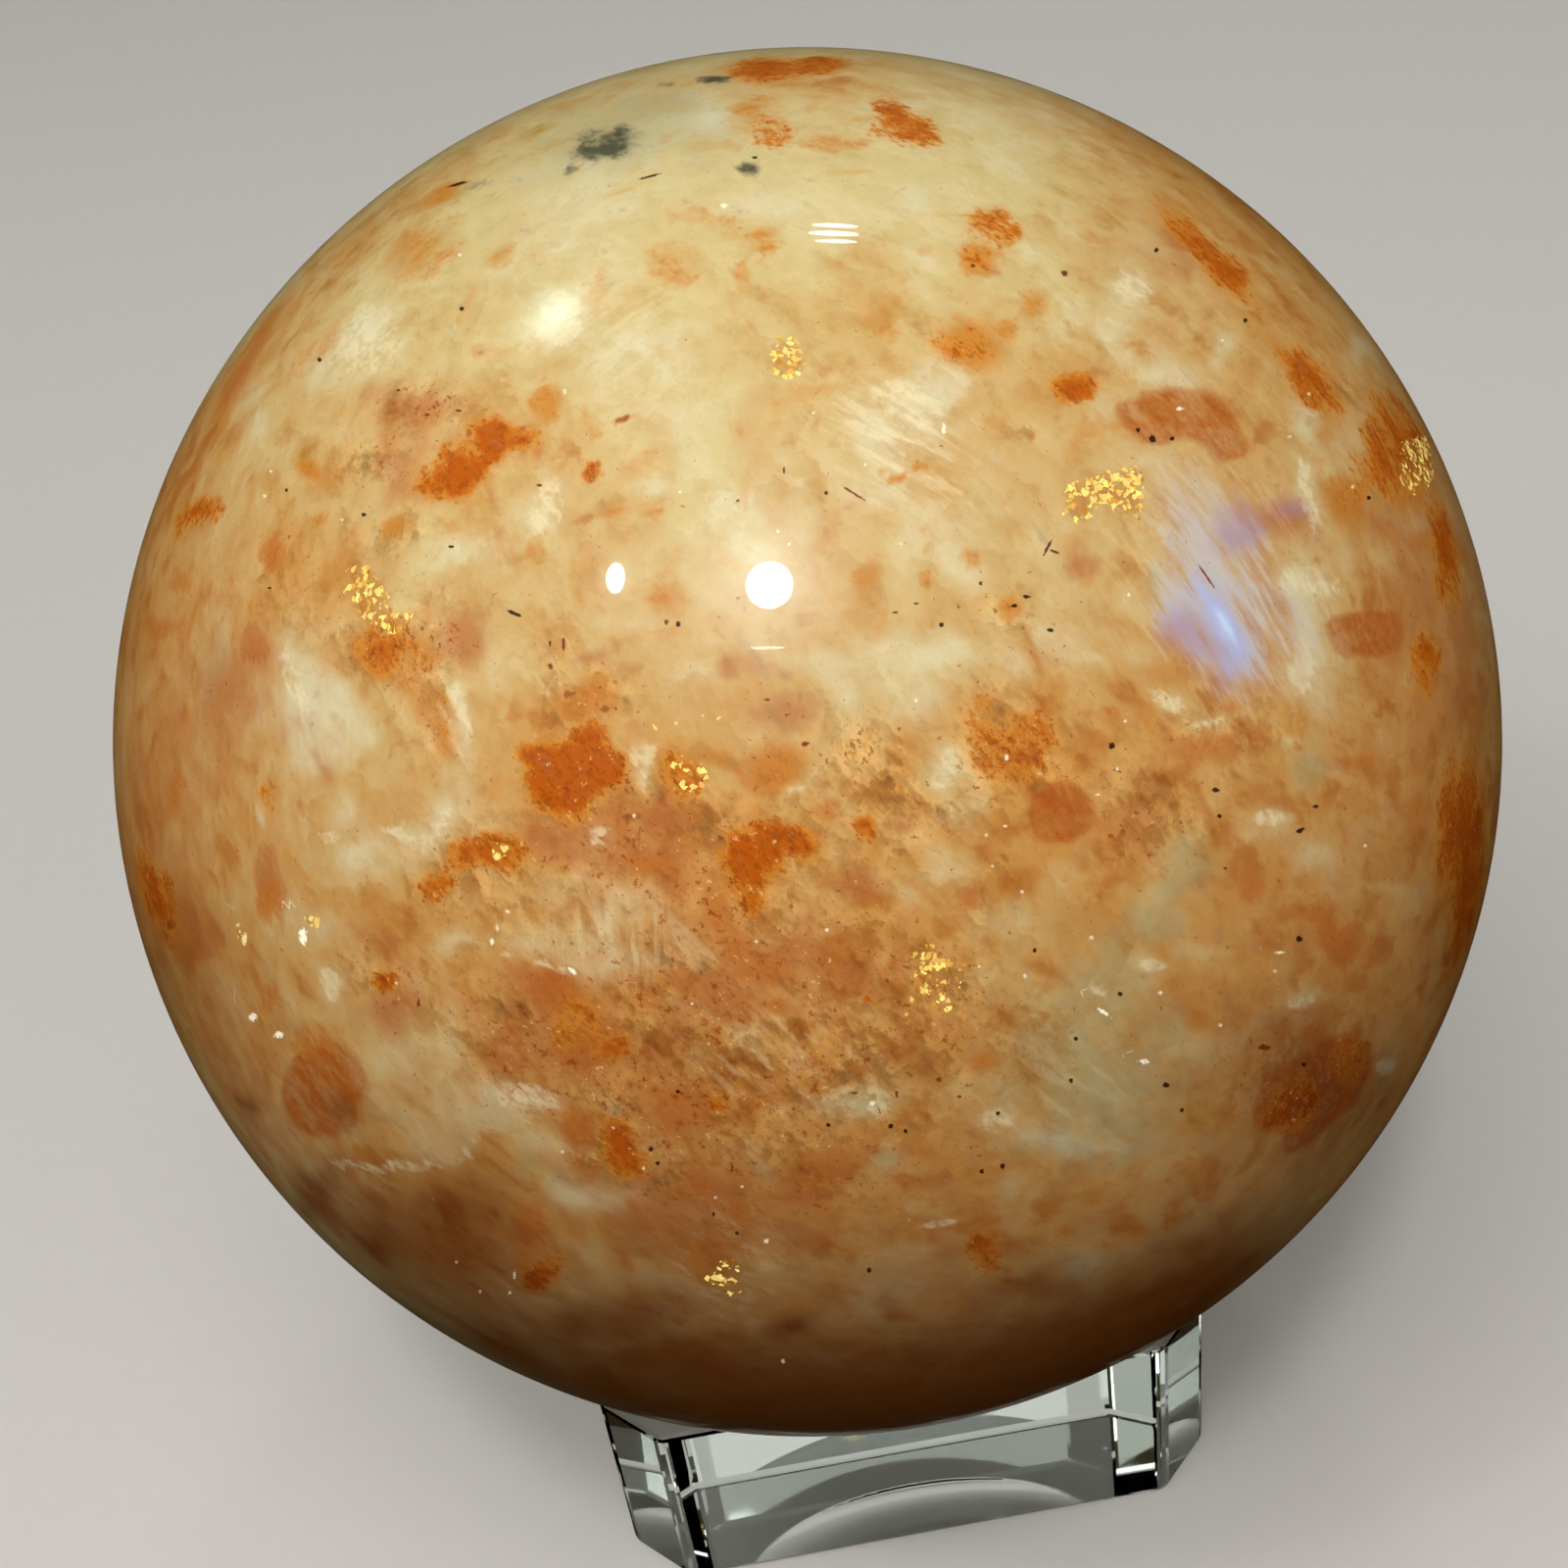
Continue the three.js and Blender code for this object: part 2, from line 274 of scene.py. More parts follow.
# Marks with an edge of their own: their level falls through nought at the edge
CRISP_PATCHES = {
    "amber": patches(
        (1136, 728, 9, 8), (725, 925, 18, 28, 0.8), (750, 965, 22, 28, 0.8),
        (780, 990, 34, 20, 0.7), (704, 995, 24, 14, 0.6), (838, 838, 14, 14, 0.7),
        (920, 984, 14, 14, 0.7), (985, 915, 13, 22, 0.8), (1280, 905, 17, 20, 0.7),
        (1445, 828, 20, 24, 0.6), (180, 812, 11, 24, 0.7), (757, 1236, 13, 22, 0.8),
        (710, 1215, 28, 12, 0.7), (795, 1030, 24, 13, 0.8), (690, 1136, 34, 28, 0.7),
        (660, 880, 40, 12, 0.7), (1385, 1005, 13, 9, 0.7), (1366, 956, 22, 32, 1, -12),
        (1334, 932, 28, 13, 0.8, -8), (1405, 970, 18, 18, 0.6), (1230, 1205, 22, 20, 0.5),
        (1200, 1240, 13, 17, 0.7), (276, 1020, 15, 9, 0.6), (1010, 1262, 20, 10, 0.6),
        (1093, 1260, 10, 10, 0.6), (1136, 1257, 10, 10, 0.6), (1335, 1060, 14, 14, 0.8),
        (1365, 1035, 5, 10, 0.8, -30), (1290, 700, 8, 14, 0.6, -15), (1254, 722, 7, 13, 0.7),
        (1286, 754, 10, 8, 0.7), (545, 1010, 30, 22, 0.2), (161, 643, 25, 15), (277, 568, 14, 18),
        (235, 594, 8, 8), (182, 596, 10, 10, 0.7), (312, 476, 18, 14), (326, 529, 9, 9, 0.7),
        (404, 539, 14, 14, 0.8), (452, 198, 25, 10, 0.8, -30), (429, 252, 48, 26, 0.45, -25),
        (319, 359, 50, 14, 0.2, -52), (232, 358, 92, 9, 0.7, -60), (510, 264, 18, 12, 0.8, -20),
        (688, 267, 30, 26, 0.2), (683, 287, 12, 10, 0.3), (750, 232, 40, 14, 0.4),
        (775, 234, 18, 9), (765, 285, 14, 20, 0.6), (788, 247, 20, 8), (767, 119, 28, 22, 0.45),
        (852, 145, 40, 8, 0.7), (1004, 262, 28, 20), (986, 348, 44, 34), (1024, 333, 16, 10, 0.8),
        (1052, 310, 16, 14, 0.7), (902, 333, 20, 16, 0.4), (555, 417, 25, 20), (639, 431, 12, 6),
        (606, 435, 14, 12, 0.6), (627, 521, 16, 10, 0.7), (662, 517, 14, 8, 0.7),
        (680, 606, 25, 18, 0.8), (542, 574, 12, 16, 0.7), (920, 482, 22, 7, 1, 30),
        (945, 466, 20, 9, 1, 30), (880, 588, 20, 12, 0.7, -15), (988, 570, 12, 14, 0.7),
        (949, 598, 8, 10, 0.7), (594, 718, 35, 22, 0.8), (790, 783, 48, 30), (920, 801, 6, 10),
        (1230, 762, 40, 18, 0.6), (392, 666, 25, 30, 0.8), (276, 923, 18, 30, 0.9),
        (318, 1062, 30, 16, 0.8), (544, 1258, 25, 45, 0.8), (582, 1141, 12, 25, 0.8),
        (725, 1289, 25, 25, 0.8), (779, 1113, 25, 15, 0.7), (878, 1088, 15, 8, 0.8),
        (1003, 1085, 20, 12, 0.8), (1375, 514, 22, 28, 0.9), (1444, 504, 20, 20, 0.8),
        (1460, 551, 18, 12, 0.7), (1393, 773, 16, 12, 0.9), (1035, 625, 20, 18, 0.7),
        (1048, 448, 10, 5), (1039, 439, 8, 8, 0.6), (413, 543, 14, 10, 0.5),
        (462, 543, 14, 10, 0.4), (837, 1182, 35, 22, 0.4), (1154, 1250, 18, 14, 0.8),
        (578, 1012, 35, 30, 0.1), (599, 1042, 25, 20, 0.2),
    ),
    "rust": patches(
        (590, 1040, 26, 32, 0.3), (720, 1045, 8, 8, 0.6), (625, 1072, 16, 14, 0.5),
        (885, 1020, 10, 6, 0.9, 30), (1380, 1080, 20, 30, 0.2), (1335, 1118, 10, 28, 0.8, -10),
        (1458, 672, 14, 24, 0.9), (1440, 440, 10, 14), (768, 906, 12, 20, 0.8),
        (980, 350, 32, 20, 0.05, -10), (1475, 560, 14, 60, 0.8, -8), (1500, 900, 16, 100, 1, 8),
        (158, 915, 16, 50, 0.9, -18), (274, 812, 9, 17, 0.3), (200, 523, 27, 17, 0.7, -35),
        (1012, 226, 24, 18, 0.6), (1036, 240, 14, 14, 0.5), (1006, 262, 18, 10, 0.1),
        (784, 134, 22, 16, 0.1), (1430, 462, 34, 46, 0.8, 20), (1490, 840, 22, 70, 1, 8),
        (1455, 675, 14, 30, 0.8), (783, 68, 45, 12, 0.7), (825, 63, 40, 9, 0.7, -3),
        (1098, 395, 26, 16), (1230, 255, 70, 13, 0.7, 44), (1252, 277, 28, 17, 0.8, 44),
        (1338, 388, 46, 20, 0.8, 46), (1418, 436, 26, 36, 0.6), (693, 788, 20, 28, 0.5),
        (602, 476, 12, 10, 0.6), (448, 904, 22, 18, 0.7), (492, 874, 40, 20, 0.8),
        (882, 849, 14, 10), (390, 996, 20, 12, 0.7), (554, 1299, 25, 15, 0.8, -30),
        (1322, 1128, 18, 24, 0.5, -10), (1313, 1145, 20, 18, 0.6), (1003, 1281, 18, 22, 0.6),
        (732, 1123, 10, 10),
    ),
    "shard_and_highlight": patches(
        (462, 716, 30, 9, 0.9, 58), (452, 740, 40, 3.5, 0.9, 50), (823, 803, 18, 7, 0.7, -30),
        (1332, 596, 30, 22, 0.6), (1290, 836, 16, 12, 0.7), (1180, 990, 15, 9, 0.7),
        (1329, 678, 12, 28, 0.7), (960, 1251, 20, 3.5, 1, -14), (922, 412, 42, 20, 0.5, 20),
        (400, 1190, 70, 6, 0.7), (476, 1176, 16, 6, 0.7, -50), (552, 985, 50, 5, 1, 10),
        # The shard at 570, 325 is partly the same painted highlight
        (570, 325, 30, 26, 0.4), (375, 345, 34, 34, 0.4), (1415, 1089, 10, 8, 0.8),
        (881, 1128, 18, 5, 0.4), (1327, 1020, 14, 9, 0.6), (967, 778, 12, 22, 0.5, 20),
        (1155, 292, 18, 22, 0.4), (300, 700, 10, 44, 0.5, -10), (448, 842, 26, 7, 0.6, -45),
        (337, 1012, 9, 20, 0.6, -15), (555, 520, 18, 34, 0.4), (1335, 505, 9, 40, 0.6, -8),
        (1184, 712, 18, 10, 0.5, 20), (1236, 732, 26, 10, 0.5, -20), (1115, 1010, 14, 4, 0.6, 45),
        (1170, 965, 10, 3.5, 0.6, 60), (340, 850, 14, 4, 0.6, 40), (412, 860, 34, 7, 0.6, 28),
        (1080, 1065, 16, 4, 0.5, 40), (600, 850, 14, 8, 0.5), (530, 1115, 40, 18, 0.5, 10),
        (1020, 1142, 22, 14, 0.5),
    ),
    "red": patches(
        (636, 428, 8, 3), (578, 704, 7, 3), (617, 734, 7, 3), (515, 840, 8, 3),
        (637, 836, 10, 8, 0.8), (762, 910, 8, 7), (775, 922, 6, 5), (759, 921, 5, 4),
        (918, 838, 8, 5), (910, 847, 7, 4), (174, 944, 6, 9),
    ),
    "lobe": patches(
        (196, 955, 34, 26, 0.2, 60), (563, 1013, 34, 24, 0.35), (604, 1067, 38, 26, 0.35),
        (515, 1070, 26, 24, 0.3), (588, 1152, 18, 28, 0.35), (262, 657, 15, 22, 0.2),
        (275, 900, 18, 44, 0.3, -14), (1362, 958, 18, 28, 0.35, -10),
    ),
    "gold": patches(
        (373, 600, 22, 26), (398, 628, 18, 12), (802, 366, 24, 20), (1100, 511, 19, 20),
        (1127, 500, 20, 13), (1150, 503, 20, 20), (1448, 470, 16, 30), (962, 1000, 27, 33, 0.5),
        (742, 1307, 16, 18, 0.05), (321, 940, 8, 10, 0.7), (700, 790, 15, 25, 0.1),
        (507, 874, 10, 9, 0.7), (249, 955, 5, 9, 0.8),
    ),
    "ink": patches(
        (614, 145, 33, 17, 1, -10), (632, 139, 16, 14), (582, 174, 7, 5), (765, 175, 10, 8),
        (727, 82, 21, 4), (490, 186, 16, 4, 0.5, -15),
    ),
}

# Marks that are no ellipse, as outlines
RUST_ON_THE_LEFT = (
    (426, 500), (431, 478), (451, 470), (451, 462), (478, 458), (482, 437), (507, 429), (523, 441),
    (549, 439), (547, 458), (531, 468), (511, 462), (500, 478), (482, 498), (466, 511), (447, 507),
)
RUST_AT_THE_TOP = (
    (887, 122), (894, 104), (915, 101), (927, 117), (948, 119), (958, 134), (963, 145), (938, 150),
    (907, 138), (889, 134),
)
RUST_LOW_DOWN = (
    (610, 1138), (635, 1138), (648, 1156), (666, 1182), (661, 1199), (641, 1205), (620, 1202),
    (610, 1192), (605, 1182),
)
RUST_IN_THE_MIDDLE = (
    (530, 766), (545, 758), (575, 755), (581, 742), (602, 740), (614, 754), (611, 766), (632, 781),
    (629, 802), (608, 811), (593, 826), (575, 835), (551, 834), (536, 823), (531, 799), (542, 787),
)
RUST_BELOW_THE_MIDDLE = (
    (737, 853), (761, 847), (786, 844), (801, 853), (822, 859), (831, 865), (829, 883), (816, 886),
    (804, 880), (792, 892), (777, 901), (761, 904), (746, 895), (739, 877),
)
LENS_ON_THE_RIGHT = (
    (1138, 416), (1171, 395), (1204, 388), (1232, 394), (1254, 420), (1266, 462), (1240, 484),
    (1224, 456), (1206, 442), (1192, 458), (1172, 462), (1152, 440),
)
LOBE_RIGHT_OF_THE_MIDDLE = (
    (1048, 812), (1066, 804), (1100, 807), (1121, 824), (1120, 850), (1106, 866), (1080, 872),
    (1062, 856), (1050, 834),
)
LOBE_RIGHT_OF_THE_FLASH = (
    (1355, 642), (1374, 622), (1420, 619), (1433, 640), (1426, 668), (1391, 684), (1361, 673),
)
GRAINS_UNDER_THE_FLASH = (
    (980, 718), (1002, 706), (1014, 714), (1032, 724), (1052, 712), (1076, 713), (1076, 740),
    (1078, 770), (1066, 791), (1042, 797), (1018, 786), (1000, 766), (990, 742),
)
ARCH_LOW_ON_THE_LEFT = (
    (289, 1108), (300, 1076), (324, 1058), (350, 1060), (368, 1082), (377, 1118), (366, 1150),
    (338, 1168), (308, 1160), (292, 1136),
)
AMBER_WEDGE = (
    (352, 648), (370, 622), (412, 622), (440, 650), (462, 664), (440, 690), (462, 740), (474, 776),
    (458, 790), (430, 752), (398, 706), (362, 690),
)
RUST_ON_THE_WEDGE = (
    (354, 652), (376, 634), (408, 640), (424, 662), (404, 684), (378, 688), (358, 676),
)
WHITE_LOW_ON_THE_LEFT = (
    (364, 1048), (412, 1054), (472, 1096), (580, 1108), (616, 1132), (556, 1150), (520, 1162),
    (472, 1186), (460, 1196), (424, 1192), (382, 1150), (370, 1114),
)
WHITE_WEDGE = (
    (278, 645), (311, 651), (351, 681), (385, 716), (400, 751), (375, 775), (335, 800), (300, 815),
    (280, 780), (273, 726),
)
SHARD_BY_THE_RUST = ((634, 772), (672, 760), (669, 782), (655, 808), (646, 800))
LOBE_LOW_ON_THE_RIGHT = (
    (1290, 1100), (1340, 1060), (1390, 1040), (1400, 1090), (1385, 1130), (1340, 1170),
    (1310, 1180), (1285, 1140),
)
BROWN_WINDOW = (
    (330, 1194), (360, 1199), (408, 1201), (467, 1196), (488, 1183), (505, 1190), (540, 1230),
    (572, 1290), (560, 1328), (520, 1338), (460, 1300), (400, 1256),
)
# The level that each outline adds to, and its strength
OUTLINED = (
    ("rust", RUST_ON_THE_LEFT, 1.0),
    ("rust", RUST_AT_THE_TOP, 0.75),
    ("rust", RUST_LOW_DOWN, 1.0),
    ("rust", RUST_IN_THE_MIDDLE, 1.0),
    ("rust", RUST_BELOW_THE_MIDDLE, 1.0),
    ("lobe", LENS_ON_THE_RIGHT, 0.75),
    ("lobe", LOBE_RIGHT_OF_THE_MIDDLE, 1.0),
    ("lobe", LOBE_RIGHT_OF_THE_FLASH, 0.9),
    ("rust", GRAINS_UNDER_THE_FLASH, 0.15),
    ("amber", AMBER_WEDGE, 0.5),
    ("rust", RUST_ON_THE_WEDGE, 0.5),
    ("white", WHITE_LOW_ON_THE_LEFT, 0.45),
    ("white", WHITE_WEDGE, 0.8),
    ("shard_and_highlight", SHARD_BY_THE_RUST, 0.8),
    ("lobe", LOBE_LOW_ON_THE_RIGHT, 1.0),
    ("brown_and_shade", BROWN_WINDOW, 0.5),
    ("lobe", ARCH_LOW_ON_THE_LEFT, 1.0),
)
OUTLINE_DEPTH = 14  # pixels inside an outline at which the level is full

# Dots and short dashes. Their strength is a tone, from dark red at nought to black.
SPOTS = patches(
    (275, 600, 3, 1.5), (371, 525, 3, 3), (292, 500, 2.5, 2.5), (471, 315, 3, 3), (326, 367, 3, 3),
    (770, 161, 4, 2), (993, 271, 3, 3, 0.1), (1086, 279, 4, 4, 0.4), (1397, 508, 3, 3),
    (1271, 327, 3, 3), (1180, 255, 3, 3), (525, 626, 10, 2.5, 1, 25), (551, 495, 4, 2, 0.3),
    (460, 558, 4, 2), (575, 657, 2, 9, 0.3), (561, 656, 2, 4, 0.3), (567, 666, 2, 7, 0.3),
    (562, 680, 4, 4, 0), (692, 637, 3, 4), (680, 635, 3, 3, 0.3), (406, 398, 4, 2, 0),
    (436, 423, 4, 2, 0), (468, 419, 4, 2, 0), (960, 637, 3.5, 3.5), (1001, 595, 3, 3, 0.5),
    (843, 503, 2.5, 2.5), (800, 480, 1.5, 4), (753, 511, 2.5, 2.5), (935, 616, 4, 1.5),
    (914, 625, 5, 1.2), (1176, 448, 4, 5), (1161, 439, 3, 3), (1196, 447, 3, 3),
    (1071, 643, 5, 2.5), (1048, 609, 5, 2.5), (1035, 618, 5, 2.5), (1017, 654, 5, 2.5),
    (1033, 652, 5, 2.5), (822, 759, 4.5, 4.5, 0.2), (1134, 761, 4.5, 4.5), (1240, 806, 5, 3.5),
    (1244, 833, 3, 3), (1343, 823, 4.5, 2.5), (1328, 847, 7, 3, 1, -30), (1250, 886, 3, 2),
    (1326, 958, 4, 4), (1143, 1014, 3, 3), (1056, 970, 3, 3), (664, 1173, 3, 3), (671, 1187, 3, 3),
    (692, 1114, 3, 3), (728, 1239, 2, 4), (752, 1258, 2.5, 2.5), (872, 1115, 4, 2, 0),
    (915, 1116, 2.5, 4, 0), (958, 1102, 4, 3, 0), (979, 1119, 4, 2, 0), (747, 1192, 2, 6, 0),
    (1018, 1136, 3, 3), (909, 1149, 3, 3), (924, 1154, 3, 3), (845, 1148, 3, 3),
    (1023, 1190, 3.5, 3.5), (1002, 1195, 3, 3), (887, 1296, 3.5, 3.5), (1190, 1107, 4, 4),
    (1206, 1133, 3, 3), (1098, 1060, 3, 3), (1093, 1103, 3, 3), (1331, 1086, 4, 3),
    (1290, 1069, 8, 4, 0.4), (427, 1024, 3, 6, 0), (663, 180, 16, 1.5, 1, -15),
    (1052, 571, 12, 2, 0.5, -15), (1069, 559, 12, 2.2, 0.5, -62), (1076, 563, 7, 1.8, 0.4, 20),
    (872, 504, 18, 1.6, 0.2, 32), (1231, 588, 20, 1.5, 0.1, 55), (467, 188, 14, 2, 1, -15),
    (782, 714, 5, 2, 0), (716, 798, 1.5, 10, 0, 15),
)

# Painted glints, bright and glowing. Their strength is a tone, from white at nought to gold.
GLINTS = patches(
    (270, 506, 2.5, 2.5, 0), (276, 481, 2.5, 2.5, 0), (349, 530, 2.5, 2.5, 0),
    (469, 260, 2.5, 2.5, 0), (739, 210, 5, 4, 0), (576, 400, 2, 4, 0), (1247, 347, 2.5, 2.5, 0),
    (1336, 402, 3, 3), (1316, 446, 4, 2.5, 0), (1380, 497, 3, 4), (1204, 417, 6, 3, 0),
    (694, 502, 2.5, 2.5, 0), (963, 437, 3, 8, 0), (883, 474, 2.5, 2.5, 0), (919, 555, 2.5, 2.5, 0),
    (830, 421, 2.5, 2.5, 0), (794, 542, 2.5, 2.5, 0), (805, 555, 2.5, 2.5, 0),
    (1152, 607, 2.5, 2.5, 0), (507, 874, 6, 5), (647, 832, 3, 3, 0), (668, 742, 2, 6, 1, -35),
    (690, 738, 2.5, 2.5), (733, 733, 5, 2, 1, -35), (717, 730, 2.5, 2.5), (1027, 773, 3, 4, 0),
    (844, 949, 3, 3, 0), (935, 715, 3, 3, 0), (1006, 852, 3, 3), (1026, 843, 4, 2, 0),
    (1013, 884, 2.5, 2.5, 0), (1043, 910, 3, 3, 0), (706, 1024, 2.5, 2.5, 0),
    (772, 961, 2.5, 2.5, 0), (1148, 736, 2.5, 2.5, 0), (1140, 785, 3, 3, 0), (1120, 811, 4, 2, 0),
    (1113, 957, 3.5, 3.5, 0), (1046, 996, 3, 4, 0), (1306, 972, 8, 2, 0), (1301, 991, 3, 3, 0),
    (1393, 863, 2.5, 2.5, 0), (249, 959, 4, 9, 0.7), (243, 944, 3, 3, 0.7), (309, 956, 6, 13, 0),
    (258, 1038, 6, 6, 0), (284, 1056, 7, 5, 0), (518, 930, 4, 3, 0), (507, 947, 3, 5, 0),
    (502, 961, 3, 5, 0), (531, 953, 3, 2.5, 0), (535, 984, 12, 2, 0, 25), (555, 985, 15, 2, 0),
    (584, 991, 8, 3, 0, 40), (405, 1003, 2.5, 2.5, 0), (525, 1301, 2, 6, 0),
    (466, 1288, 2.5, 2.5, 0), (490, 1318, 2.5, 2.5, 0), (520, 1319, 2.5, 2.5, 0),
    (574, 1175, 2.5, 2.5, 0), (657, 1192, 2.5, 2.5, 0), (626, 1151, 2.5, 2.5, 0),
    (730, 1222, 2.5, 2.5, 0), (782, 1266, 4, 4, 0), (757, 1211, 2.5, 2.5, 0), (799, 1389, 3, 3, 0),
    (890, 1126, 4, 4, 0), (930, 1020, 4, 4), (999, 986, 2.5, 2.5), (925, 1035, 2.5, 2.5),
    (1126, 1033, 12, 3, 0, 35), (1167, 1083, 8, 4, 0), (1184, 1013, 3, 3, 0),
    (1245, 1046, 3, 3, 0),
)

# Directions of the stone's fibres, clockwise from the image's own right, and where each holds
FIBRE_ZONES = patches(
    (920, 450, 90, 75, 1, 30), (1255, 600, 150, 120, 1, 57), (1100, 1110, 110, 100, 1, 40),
    (640, 350, 90, 70, 1, -35), (620, 960, 120, 60, 1, 85),
)
FIBRE_TILT = 50.0  # everywhere else
FIBRE_LENGTH = 6.0  # how many times longer than wide the fibres are

# How many marks of each kind the unseen side has, their half sizes in millimetres, how long for
# their width, and their strength
UNSEEN_MARKS = {
    "warm": (30, 5.0, 14.0, 1.6, 0.9),
    "tan": (150, 0.6, 3.0, 1.8, 0.65),
    "blush": (80, 0.6, 3.5, 1.8, 0.65),
    "grey": (36, 0.5, 4.0, 1.7, 0.7),
    "brown_and_shade": (14, 0.4, 5.0, 1.8, 0.6),
    "white": (160, 0.5, 3.2, 2.0, 0.75),
    "blue": (3, 0.6, 1.6, 2.2, 0.7),
    "violet_sheen": (4, 0.6, 1.4, 1.6, 0.6),
    "veil_sheen": (4, 0.8, 2.2, 2.4, 0.7),
    "fibre": (16, 1.5, 5.0, 1.6, 0.7),
    "fleck": (80, 0.8, 4.4, 1.8, 0.9),
    "amber": (120, 0.3, 1.6, 1.6, 0.9),
    "shard_and_highlight": (50, 0.2, 1.4, 2.4, 0.8),
    "rust": (76, 0.4, 2.2, 1.6, 0.95),
    "red": (26, 0.15, 0.4, 1.8, 0.9),
    "lobe": (16, 0.8, 2.6, 1.5, 0.9),
    "gold": (22, 0.5, 1.6, 1.6, 0.8),
    "ink": (12, 0.2, 1.2, 2.0, 0.9),
}
UNSEEN_GRAINS = 130  # dots on that side, and as many glints
UNSEEN_GRAIN_SIZES = (0.06, 0.12)  # half sizes, in millimetres
UNSEEN_MARGIN = 0.03  # how far past the outline they start, as a cosine
SMALL_LEANING = 1.6  # above one, small marks are commoner than large ones
WEAKEST_SHARE = 0.6  # the weakest marks of a kind have this share of its strength
LEVEL_FLOOR = -1.0  # the level of a crisp kind far from any mark

# How the dots and glints are kept on the vertices
FAR_AWAY = 9.0  # what a spot's own coordinates say far from any spot
SPOT_LAYERS = 3
HOLD = 2.2  # how many vertex spacings past its edge a spot's coordinates are kept
HELD = 1.05  # what the third value says where they are kept, with the spot's shine on top
HELD_LIMIT = 0.97  # how high that value is where all vertices round a point keep them
SHINE_LIMIT = 0.95
SHINING_AREA = 50.0  # half width times half height, in pixels, at which a spot shines fully
SPOT_SHARE = 0.8  # how much of a spot's size is left once its edge is soft

# Which four levels share each colour attribute of the ball
LEVEL_SETS = {
    "tint": ("blush", "grey", "brown_and_shade", "milk"),
    "stain": ("amber", "rust", "red", "lobe"),
    "mark": ("gold", "ink", "fibre", "blue"),
    "flash": ("violet_sheen", "veil_sheen", "shard_and_highlight", "blots"),
    "ground": ("warm", "crowd", "strays", "shade"),
}

# The noise that moves the marks: its size, how far it moves them, and its seed
WANDERINGS = ((0.09, 0.016, 1.0), (0.035, 0.009, 2.0))
# The noise clouds: their size, octaves and seed
CLOUDS = {
    "drift": (0.13, 4, 7.0),
    "warmth": (0.22, 4, 33.0),
    "shade": (0.06, 4, 51.0),
    "strays": (0.05, 3, 21.0),
    "blots": (0.045, 4, 77.0),
}
CLOUD_FOLD = (0.7, 0.8)  # the frequency and depth at which they are folded over themselves
CLOUD_ROUGHNESS = (0.7, 2.1)  # how fast their octaves fade, and the step between two octaves


def unit(vector):
    return vector / np.linalg.norm(vector)


def about_z(vector, degrees):
    """The vector turned about the upright axis."""
    turn = Matrix.Rotation(math.radians(degrees), 3, "Z")
    return np.array(turn @ Vector(vector))


class PhotoCamera:
    """The camera that took the photograph, in ball radii from the ball's centre."""

    def __init__(self):
        pitch = math.radians(CAMERA_PITCH)
        roll = math.radians(CAMERA_ROLL)
        right = np.array([1.0, 0.0, 0.0])
        forward = np.array([0.0, math.cos(pitch), -math.sin(pitch)])
        down = np.array([0.0, -math.sin(pitch), -math.cos(pitch)])
        rolled_right = math.cos(roll) * right + math.sin(roll) * down
        rolled_down = -math.sin(roll) * right + math.cos(roll) * down
        turned = [about_z(v, CAMERA_TURN) for v in (rolled_right, rolled_down, forward)]
        self.axes = np.array(turned)
        self.middle = np.array([PHOTO_SIZE / 2, PHOTO_SIZE / 2])
        self.ball = self.ball_centre()
        self.place = -self.ball @ self.axes

    def ray(self, pixel):
        return unit(np.append(np.asarray(pixel, float) - self.middle, FOCAL_PIXELS))

    def ball_centre(self):
        """Where the ball's outline puts its centre, in the camera's axes."""
        centre = np.array(OUTLINE_CENTRE, float)
        out = unit(centre - self.middle)
        near = self.ray(centre + out * OUTLINE_RADIUS)
        far = self.ray(centre - out * OUTLINE_RADIUS)
        return unit(near + far) / math.sin(math.acos(near @ far) / 2)

    def pixels(self, points):
        seen = points @ self.axes.T + self.ball
        return self.middle + FOCAL_PIXELS * seen[..., :2] / seen[..., 2:3]

    def direction(self, x, y):
        """The direction from the ball's centre to the point of the ball that shows at a pixel."""
        centre = np.array(OUTLINE_CENTRE, float)
        off = np.array([x, y], float) - centre
        limit = OUTLINE_RADIUS * OUTLINE_LIMIT
        off *= min(1.0, limit / max(np.linalg.norm(off), 1.0))
        ray = self.ray(centre + off)
        along = ray @ self.ball
        reach = along - math.sqrt(along**2 - (self.ball @ self.ball - 1))
        return unit((reach * ray - self.ball) @ self.axes)


CAMERA = PhotoCamera()
STEP = 0.002  # radians, for measuring how the picture changes over the ball
MIDDLE_PIXELS_PER_RADIAN = FOCAL_PIXELS / (np.linalg.norm(CAMERA.ball) - 1)
PIXELS_PER_MM = MIDDLE_PIXELS_PER_RADIAN / (BALL_RADIUS / MM)


